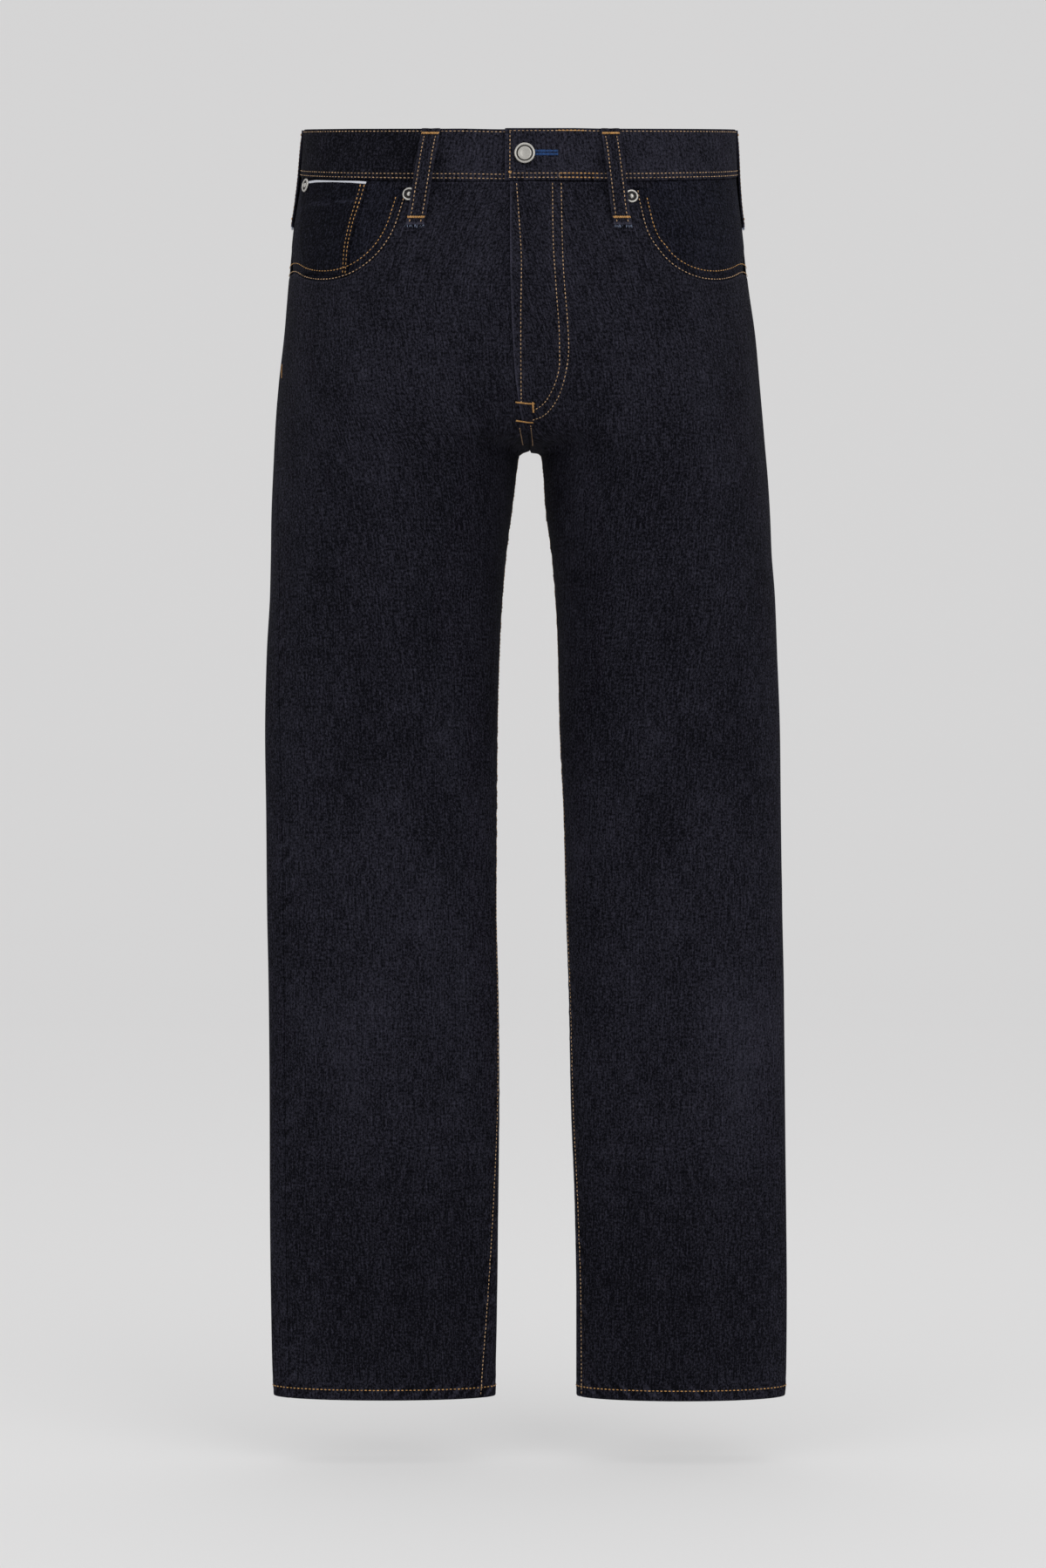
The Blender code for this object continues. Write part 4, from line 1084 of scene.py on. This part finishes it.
def waistband(look):
    """One straight band, folded along its top edge, with its two ends lapped at the front."""
    levels = (WAIST_SEAM - 0.004) * shares(20, 0.042)
    strips = []
    for side, past in ((RIGHT, BAND_UNDER), (LEFT, BAND_OVER)):
        length = long_of(side, 0.5, -1)
        across = np.concatenate([(-1 - past / length) + (1 + past / length) * shares(110, 0.3)[:-4], [0.0],
                                 np.linspace(0, 1, 90)[1:]])
        level, wide = np.meshgrid(levels, across, indexing="ij")
        plain = place(side, level, wide)
        height = band_lift(side)(level, wide)
        for axis, backwards in ((0, False), (0, True), (1, False)):
            height = height + rolled(run_of(plain, axis, backwards), 0.0024, 0.0010)
        lengths = sample(chart(side)[2], level, wide)
        seam = run_of(plain, 0, True)
        waves = ripple(BAND_PUCKER, lengths[..., 0], 0.6 * seam, 5.0)
        height = height + BAND_PUCKER.deep * waves * hump(seam - 0.004, BAND_PUCKER.wide)
        points, out = skin(side, level, wide, height)
        weave = np.stack([lengths[..., 0], plain[..., 2]], -1)
        # Painted light and shade: the band is darker at the wearer's right front and lighter from the centre
        # round to the left, as the light falls; the paler line along one end is wear.
        pale = 0.42 * smooth((plain[..., 0] + 0.095) / 0.05) - 0.22
        pale = pale + 0.10 * smooth((-0.10 - plain[..., 0]) / 0.05)
        pale = pale + 0.35 * hump(run_of(plain, 1), 0.0013)
        strips.append((points, weave, pale, out))
    (p, w, a, o), (q, x, b, r) = strips
    keep = slice(-2, None, -1)
    points, out = np.concatenate([p, q[:, keep]], 1), np.concatenate([o, r[:, keep]], 1)
    weave, pale = np.concatenate([w, x[:, keep]], 1), np.concatenate([a, b[:, keep]], 1)
    turnings = []
    for side in (RIGHT, LEFT):
        level, wide = np.linspace(0.90, 1.12, 6)[:, None], np.linspace(-0.97, 1.0, 120)[None, :]
        turnings.append(cloth(side, level, wide, -CLOTH - SEAM, 0.0009))
    made = shell("waistband", [(points, BAND_THICK, weave, pale, out), *turnings], look)
    under = ["front_right", "front_left", "yoke_right", "yoke_left"]
    return as_sheet(made, "waistband", under)


SIDE_LOOP_CLOSE = 0.15  # share of the gap that the side loops keep


def loop_frame(side, top, foot, t):
    """Middle, direction over and direction out of a belt loop at shares of its length."""
    t = np.asarray(t, float)
    level = top[0] + (foot[0] - top[0]) * t
    across = top[1] + (foot[1] - top[1]) * t
    out = normal(side, level, across)
    step = LOOP_WIDE / 2 / long_of(side, 1.0, across[0])
    over = place(side, level, across + step) - place(side, level, across - step)
    over /= np.linalg.norm(over, axis=1, keepdims=True)
    knots = np.array([a.along for a in ARCH])
    gaps = np.array([a.gap for a in ARCH])
    passed = smooth((t[:, None] - knots[:-1]) / np.diff(knots))
    gap = gaps[0] + (passed * np.diff(gaps)).sum(1)
    if abs(top[1]) < 0.1:
        gap = gap * SIDE_LOOP_CLOSE
    return place(side, level, across), over, out, gap


def belt_loop(name, side, top, foot, look):
    t = shares(46, LOOP_LONG)
    middle, over, out, gap = loop_frame(side, top, foot, t)
    u = (2 * shares(10, LOOP_WIDE) - 1) * LOOP_WIDE / 2
    height = gap[:, None] + LOOP_THICK + rolled(LOOP_WIDE / 2 - abs(u), 0.0018, 0.0009)[None, :]
    height = height - 0.0008 * hump(u, 0.0022)[None, :]
    points = middle[:, None] + over[:, None] * u[None, :, None] + out[:, None] * height[..., None]
    weave = np.stack(np.broadcast_arrays(u[None, :], (t * LOOP_LONG)[:, None]), -1)
    edge = 0.35 * hump(LOOP_WIDE / 2 - abs(u), 0.0012)[None, :]
    edge = edge + 0.9 * hump((1 - t) * LOOP_LONG, 0.0016)[:, None]
    outs = np.broadcast_to(out[:, None], points.shape)
    made = shell(name, [(points, LOOP_THICK, weave, edge + 0.1, outs)], look)
    return as_sheet(made, name, ["waistband"])


def loop_stitches(side, top, foot):
    """Two rows down a belt loop and a bar of close stitches near each end."""
    found, bars = [], []
    for way in (-1, 1):
        t = np.linspace(0.03, 0.985, 80)
        middle, over, out, gap = loop_frame(side, top, foot, t)
        points = middle + over * way * 0.0046 + out * (gap + LOOP_THICK + 0.0001)[:, None]
        centre, ahead, where = even(points, PITCH)
        run = run_along(points)
        for c, a, w in zip(centre, ahead, where):
            o = np.array([np.interp(w, run, out[:, k]) for k in range(3)])
            found.append((c, a, o / np.linalg.norm(o), STITCH_LONG, STITCH_WIDE, STITCH_HIGH))
    for t in (0.05, 0.925):
        middle, over, out, gap = loop_frame(side, top, foot, np.array([t, t + 0.01]))
        down = middle[1] - middle[0]
        down /= np.linalg.norm(down)
        for u in np.arange(-0.0068, 0.0069, 0.00062):
            tilt = down + over[0] * 0.3 * rng.choice([-1.0, 1.0])
            centre = middle[0] + over[0] * u + out[0] * (gap[0] + LOOP_THICK + 0.0002)
            bars.append((centre, tilt / np.linalg.norm(tilt), out[0], 0.0021, 0.0007, 0.0009))
    return found, bars


def inner_strip(name, levels, x_from, x_to, lift, look, thick=CLOTH):
    """A strip behind the fly, on the left side's surface carried past the centre."""
    half = np.abs(sample(chart(LEFT)[2], np.asarray(levels, float), -1.0)[..., 0])
    across = -1 + np.linspace(x_from, x_to, 16)[None, :] / half[:, None]
    level = np.asarray(levels, float)[:, None] + 0 * across
    made = shell(name, [cloth(LEFT, level, across, lift, thick, "tblr", (0.0012, 0.0004))], look)
    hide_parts(name)
    return made


def lathe(name, spot, out, profile, look, steps=40):
    """Turns a profile of (radius, height) points about a line that leaves a spot."""
    bm = bmesh.new()
    points = [bm.verts.new((radius, 0, height)) for radius, height in profile]
    edges = [bm.edges.new(pair) for pair in zip(points, points[1:])]
    middle, up = (0, 0, 0), (0, 0, 1)
    bmesh.ops.spin(bm, geom=points + edges, cent=middle, axis=up, dvec=middle, angle=2 * np.pi, steps=steps)
    bmesh.ops.remove_doubles(bm, verts=bm.verts[:], dist=0.00002)
    turn = Vector((0, 0, 1)).rotation_difference(Vector(out)).to_matrix().to_4x4()
    bmesh.ops.transform(bm, matrix=Matrix.Translation(Vector(spot)) @ turn, verts=bm.verts[:])
    bmesh.ops.recalc_face_normals(bm, faces=bm.faces[:])
    mesh = bpy.data.meshes.new(name)
    bm.to_mesh(mesh)
    bm.free()
    mesh.shade_smooth()
    mesh.materials.append(look)
    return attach(linked(name, mesh), "root")


# --- materials in use ----------------------------------------------------------------------

denim = denim_material("denim", (0.0026, 0.0026, 0.0044), (0.047, 0.046, 0.067))
denim_facing = denim_material("denim facing", (0.0024, 0.0025, 0.0044), (0.040, 0.041, 0.064), 0.9)
tape_cloth, *_ = new_material("zip tape", (0.012, 0.013, 0.018), 0.85, 0.0, 0.1)
tan_thread = thread_material("tan thread", (0.48, 0.31, 0.17), 0.8)
orange_thread = thread_material("orange thread", (0.50, 0.27, 0.09), 0.6)
blue_thread = thread_material("blue thread", (0.016, 0.060, 0.190), 0.6)
white_thread = thread_material("white selvedge", (0.66, 0.68, 0.74), 0.2)
pale_thread = thread_material("frayed weft", (0.20, 0.24, 0.34), 0.8)
nickel = metal_material("satin nickel", (0.50, 0.485, 0.455), 0.34)
# Painted shade: a near black metal laid in the bottom of each fastener's ring groove.
groove_shade_metal = metal_material("painted groove shade", (0.035, 0.034, 0.034), 0.55)

# --- cloth ---------------------------------------------------------------------------------


def loop_places():
    """Each belt loop's side and its (level, across) spots at top and foot."""
    found = {}
    for word, side, x_top, x_foot in (("right", RIGHT, 0.0725, 0.0855), ("left", LEFT, 0.0730, 0.0830)):
        top = locate(side, x_top, -0.0190, level=0.2)
        foot = locate(side, x_foot, -0.0975)
        found[f"loop_front_{word}"] = (side, (0.02, top[1]), foot)
        found[f"loop_side_{word}"] = (side, (0.02, 0.012), (1.93, 0.012))
    found["loop_back"] = (LEFT, (0.02, 1.0), (1.60, 1.0))
    return found


for side in (RIGHT, LEFT):
    front(side, denim)
    back(side, denim)
    yoke(side, denim)
    facing(side, denim_facing)
    back_pocket(side, denim)
coin_pocket(denim_facing, white_thread)
waistband(denim)
loops = loop_places()
for name, (side, top, foot) in loops.items():
    belt_loop(name, side, top, foot, denim)

inner_strip("fly_shield", np.linspace(1.01, 5, 40), -0.020, 0.036, -0.0074, denim)
inner_strip("zip", np.linspace(1.30, 4.8, 36), -0.010, 0.022, -0.0034, tape_cloth)
inner_strip("zip_slider", np.linspace(1.06, 1.26, 8), 0.0015, 0.0105, -0.0018, nickel, 0.004)

# --- stitching -----------------------------------------------------------------------------
# Distances of rows from the edges they follow, and levels of rows on the waistband. The order of
# the rows fixes the random tones and lengths of their stitches.

MOUTH_ROWS = (0.0018, 0.0086)
BAND_ROWS = (0.055, 0.862, 0.944)
YOKE_ROWS = (0.055, 0.185)  # in levels below the yoke's edge
PATCH_ROWS = ((0.0022, 0.020), (0.0085, 0.085))  # and each one's share down the pocket at its top
PATCH_HALF, PATCH_TALL = 0.074, 0.15
SEAT_ROWS = (0.0025, 0.0085)
COIN_ROWS = (0.0022, 0.0052)
INSEAM_ROW, HEM_ROW = 0.0030, 0.0098
LOOSE_ENDS = 26  # at the foot of each belt loop

EDGE_ROW = [(-0.0031, -0.0620), (-0.0008, -0.0950), (0.0004, -0.1130), (0.0004, -0.1800), (0.0004, -0.2410)]
J_INNER = [(0.0263, -0.0615), (0.0270, -0.1150), (0.0298, -0.1580), (0.0319, -0.1960)]
J_INNER += [(0.0312, -0.2175), (0.0263, -0.2316), (0.0185, -0.2422), (0.0100, -0.2465)]
J_OUTER = [(0.0334, -0.0615), (0.0348, -0.1283), (0.0383, -0.1764), (0.0390, -0.2054), (0.0369, -0.2189)]
J_OUTER += [(0.0330, -0.2330), (0.0270, -0.2437), (0.0185, -0.2507), (0.0100, -0.2529)]
CROTCH_ROWS = [[(-0.0012, -0.2580), (0.0020, -0.2680)], [(0.0088, -0.2560), (0.0105, -0.2680)]]
FLY_BARS = [[(-0.0045, -0.2400), (0.0120, -0.2412)], [(-0.0040, -0.2535), (0.0110, -0.2545)]]
FLY_BARS += [[(0.0105, -0.2400), (0.0112, -0.2475)]]

tan, orange = [], []


def mouth_rows(side):
    inner, outer = (beside_mouth(side, offset) for offset in MOUTH_ROWS)
    tan.extend(row_of(side, inner[2:-1], lambda level, across: fly_lift(side, level, across)))
    orange.extend(row_of(side, outer[4:-1], lambda level, across: fly_lift(side, level, across)))


def band_rows(side):
    """One row under the waistband's top edge and two along its foot."""
    lift, half = band_lift(side), long_of(side, 0.5, -1)
    start = -1 - (BAND_OVER - 0.003) / half if side == LEFT else -1 + 0.008 / half
    for row in BAND_ROWS:
        spots = [(row, start), (row, 0.0), (row, 1.0)]
        tan.extend(row_of(side, spots, lambda level, across: lift(level, across) - 0.00015, count=400))


def back_rows(side):
    """Two rows below the yoke seam, and two round the back pocket."""
    for below in YOKE_ROWS:
        tan.extend(row_of(side, [(yoke_level(s) + below, s) for s in np.linspace(0.01, 0.99, 24)], 0.0))
    for offset, top in PATCH_ROWS:
        wide, tall = 1 - offset / PATCH_HALF, 1 - offset / PATCH_TALL
        for way in (-1, 1):
            rim = [patch_spots(0.015 + (tall - 0.015) * k, way * wide) for k in np.linspace(0.0, 1.0, 30)]
            tan.extend(row_of(side, rim, PATCH_FACE))
            toe = [patch_spots(tall, way * wide * k) for k in np.linspace(1, 0, 12)]
            tan.extend(row_of(side, toe, PATCH_FACE))
        tan.extend(row_of(side, [patch_spots(top, u) for u in np.linspace(-0.97, 0.97, 20)], PATCH_FACE))


def leg_rows(side):
    """The inseam's row, on the front, and the hem's."""
    across = -1 + INSEAM_ROW / long_of(side, 12, -1)
    inseam = [(level, across) for level in np.linspace(CROTCH + 0.35, HEM - 0.10, 60)]
    tan.extend(row_of(side, inseam, 0.0, count=600))
    level = np.interp(HEM_ROW, [0.0, 0.022], [HEM, HEM - 1])
    hem = [(level, s) for s in np.linspace(-1, 1, 60)]
    orange.extend(row_of(side, hem, 0.0, wide=0.0009, count=500))


def on_fly(level, across):
    return fly_lift(LEFT, level, across)


def fly_rows():
    """A row inside the fly's free edge, two round the zip, and bars at its foot."""
    for line in (EDGE_ROW, J_INNER, J_OUTER):
        spots = np.array(spots_of(LEFT, line, across=-0.95))
        tan.extend(row_of(LEFT, along(LEFT, spots, np.linspace(0, 1, 60)), on_fly))
    for line in CROTCH_ROWS:
        tan.extend(row_of(LEFT, spots_of(LEFT, line, across=-0.97, level=6.5), on_fly))
    for bar in FLY_BARS:
        orange.extend(bartack(LEFT, *spots_of(LEFT, bar, across=-0.97, level=6.0), on_fly, 0.0016))


def band_end_rows():
    """The row by the waistband's lapped end, and the heavier thread beside the button."""
    lift, half = band_lift(LEFT), long_of(LEFT, 0.5, -1)

    def row(first, last, **sizes):
        ends = [(level, -1 + x / half) for level, x in (first, last)]
        return row_of(LEFT, ends, lift, **sizes)

    tan.extend(row((0.05, -0.0085), (0.95, -0.0085)))
    for level, x_from, x_to in ((0.052, 0.0306, 0.0534), (0.862, 0.0314, 0.0634), (0.944, 0.0314, 0.0634)):
        orange.extend(row((level, x_from), (level, x_to), wide=0.0011, high=0.0009))
    tan.extend(row((0.862, 0.0314), (0.944, 0.0314), pitch=0.0016, long=0.0016))
    orange.extend(bartack(LEFT, (0.84, -1 - 0.0096 / half), (0.84, -1 - 0.0072 / half), lift, 0.0020))


def coin_rows():
    """Two slanting rows down the coin pocket's free edge, in heavier thread at the top."""
    for inset in COIN_ROWS:
        line = np.column_stack(coin_at(np.linspace(0.04, 0.97, 40), np.full(40, inset / 0.055)))
        orange.extend(row_of(RIGHT, line[:12], coin_lift, wide=0.0010))
        orange.extend(row_of(RIGHT, line[11:], coin_lift, wide=0.0007))


def seat_rows():
    for offset in SEAT_ROWS:
        across = 1 - offset / long_of(LEFT, 4, 1)
        seat = [(level, across) for level in np.linspace(1.2, CROTCH - 0.3, 60)]
        tan.extend(row_of(LEFT, seat, 0.0, count=300))


for side in (RIGHT, LEFT):
    mouth_rows(side)
    band_rows(side)
    back_rows(side)
    leg_rows(side)
fly_rows()
band_end_rows()
coin_rows()
# A bar of close stitches on the outseam below each front pocket.
orange.extend(bartack(RIGHT, (4.62, -0.030), (4.98, -0.045), 0.0, 0.0016, 0.0008))
orange.extend(bartack(LEFT, (4.62, -0.012), (4.98, -0.012), 0.0, 0.0016, 0.0008))
for side, top, foot in loops.values():
    rows, bars = loop_stitches(side, top, foot)
    tan.extend(rows)
    orange.extend(bars)
seat_rows()
beads("stitching_tan", tan, tan_thread)
beads("stitching_orange", orange, orange_thread)


def down_from(side, level, across):
    """The direction down the garment at a spot."""
    step = place(side, level + 0.02, across) - place(side, level - 0.02, across)
    return step / np.linalg.norm(step)


def buttonhole():
    """The keyhole's two sides, worked in blue."""
    lift, half, middle = band_lift(LEFT), long_of(LEFT, 0.5, -1), 0.47
    found = []
    for x in np.arange(0.0120, 0.0310, 0.00055):
        for way in (-1, 1):
            level, across = middle + way * 0.030, -1 + x / half
            point, out = skin(LEFT, level, across, lift(np.array(level), np.array(across)))
            long = 0.0022 * (0.75 + 0.5 * rng.random())
            found.append((point + out * 0.0002, down_from(LEFT, level, across), out, long, 0.0006, 0.0007))
    beads("buttonhole", found, blue_thread)


def loop_fray():
    """Loose ends at the feet of the belt loops."""
    found = []
    for side, top, foot in loops.values():
        for _ in range(LOOSE_ENDS):
            middle, over, out, _gap = loop_frame(side, top, foot, np.array([1.0, 1.0]))
            u = (rng.random() - 0.5) * LOOP_WIDE
            tilt = down_from(side, *foot) + over[0] * (rng.random() - 0.5) * 1.2
            tilt /= np.linalg.norm(tilt)
            long = 0.0012 + 0.0022 * rng.random()
            centre = middle[0] + over[0] * u + out[0] * (0.0008 + 0.0016 * rng.random()) + tilt * long * 0.4
            found.append((centre, tilt, out[0], long, 0.00028, 0.00028))
    beads("loop_fray", found, pale_thread)


buttonhole()
loop_fray()

# --- metal: profiles as (radius, height) ---------------------------------------------------

BUTTON = [(0, -0.0044), (0.0050, -0.0044), (0.0050, -0.0034), (0.0023, -0.0034), (0.0023, 0.0034)]
BUTTON += [(0.0082, 0.0034), (0.0086, 0.0040), (0.0086, 0.0054), (0.0083, 0.0061), (0.0076, 0.0064)]
BUTTON += [(0.0069, 0.0062), (0.0066, 0.0048), (0.0058, 0.0048), (0.0055, 0.0060), (0.0048, 0.0061)]
BUTTON += [(0.0030, 0.0058), (0.0, 0.0056)]
RIVET = [(0.0, -0.0072), (0.0040, -0.0072), (0.0040, -0.0060), (0.0015, -0.0060), (0.0015, 0.0006)]
RIVET += [(0.0056, 0.0006), (0.0057, 0.0010), (0.0054, 0.0017), (0.0048, 0.0021), (0.0042, 0.0019)]
RIVET += [(0.0039, 0.0010), (0.0021, 0.0010), (0.0018, 0.0018), (0.0012, 0.0023), (0.0, 0.0024)]
RIVETS = (("rivet_right", RIGHT, 0.0905, -0.0713), ("rivet_left", LEFT, 0.0905, -0.0730))
RIVETS += (("rivet_coin", RIGHT, 0.1770, -0.0535),)


def fastener(name, spot, out, profile, steps, inner, outer, height):
    """A turned head on its shank, with a dark ring of painted shade in the bottom of its ring groove."""
    made = lathe(f"{name}_head", spot, out, profile, nickel, steps)
    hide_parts(name)
    # Painted shade: a dark ring on the floor of the groove.
    floor = height - 0.0002
    ring = [(inner, floor), (inner, height), (outer, height), (outer, floor)]
    lathe(f"{name}_groove", spot, out, ring, groove_shade_metal, 40)


level, across = locate(LEFT, 0.0036, -0.0385, -0.98, 0.5)
out, spot = normal(LEFT, level, across), place(LEFT, level, across)
fastener("button", spot, out, BUTTON, 48, 0.0056, 0.0067, 0.0053)
for name, side, x, z in RIVETS:
    level, across = locate(side, x, z)
    out, spot = normal(side, level, across), place(side, level, across)
    raised = out * (0.0015 if name == "rivet_coin" else 0.0)
    fastener(name, spot + raised, out, RIVET, 32, 0.0019, 0.0041, 0.0014)

# --- floor, light and camera ---------------------------------------------------------------

FLOOR = -1.122


def studio():
    backdrop_look, _, _, shader = new_material("backdrop", (0.43, 0.43, 0.43), 0.9, 0.0, 0.1)
    shader.inputs["Emission Color"].default_value = (1.0, 0.992, 0.995, 1.0)
    shader.inputs["Emission Strength"].default_value = 0.37
    bm = bmesh.new()
    bmesh.ops.create_grid(bm, x_segments=2, y_segments=60, size=1.0)
    for vert in bm.verts:
        run = (vert.co.y + 1) / 2 * 17.0 - 6.0
        bend = np.clip((run - 5.0) / 1.6, 0, 1) * np.pi / 2
        y = min(run, 5.0) + np.sin(bend)
        vert.co = (vert.co.x * 7, y, FLOOR + 1 - np.cos(bend) + max(run - 6.6, 0))
    bmesh.ops.recalc_face_normals(bm, faces=bm.faces[:])
    mesh = bpy.data.meshes.new("backdrop")
    bm.to_mesh(mesh)
    bm.free()
    mesh.shade_smooth()
    mesh.materials.append(backdrop_look)
    linked("backdrop", mesh)

    world = bpy.data.worlds.new("studio")
    bpy.context.scene.world = world
    world.use_nodes = True
    world.node_tree.nodes["Background"].inputs["Color"].default_value = (1.0, 1.0, 1.0, 1.0)
    world.node_tree.nodes["Background"].inputs["Strength"].default_value = 0.62
    for name, spot, size, power in (
        ("front right", (1.9, -2.6, 1.0), 2.4, 26.0),
        ("front left", (-2.2, -2.4, 0.7), 2.2, 13.0),
        ("top", (0.0, -0.4, 2.2), 2.6, 16.0),
    ):
        light = bpy.data.lights.new(name, "AREA")
        light.size = size
        light.energy = power
        made = linked(name, light)
        made.location = spot
        made.rotation_euler = (Vector((0, 0, -0.5)) - Vector(spot)).to_track_quat("-Z", "Y").to_euler()

    camera = bpy.data.cameras.new("camera")
    camera.lens = 76.24
    camera.sensor_width = 36
    made = bpy.data.objects.new("camera", camera)
    made.location = (0.0022, -2.8, -0.552)
    made.rotation_euler = (np.pi / 2, 0, 0)
    bpy.context.scene.collection.objects.link(made)
    bpy.context.scene.camera = made
    bpy.context.scene.view_settings.view_transform = "Standard"


studio()
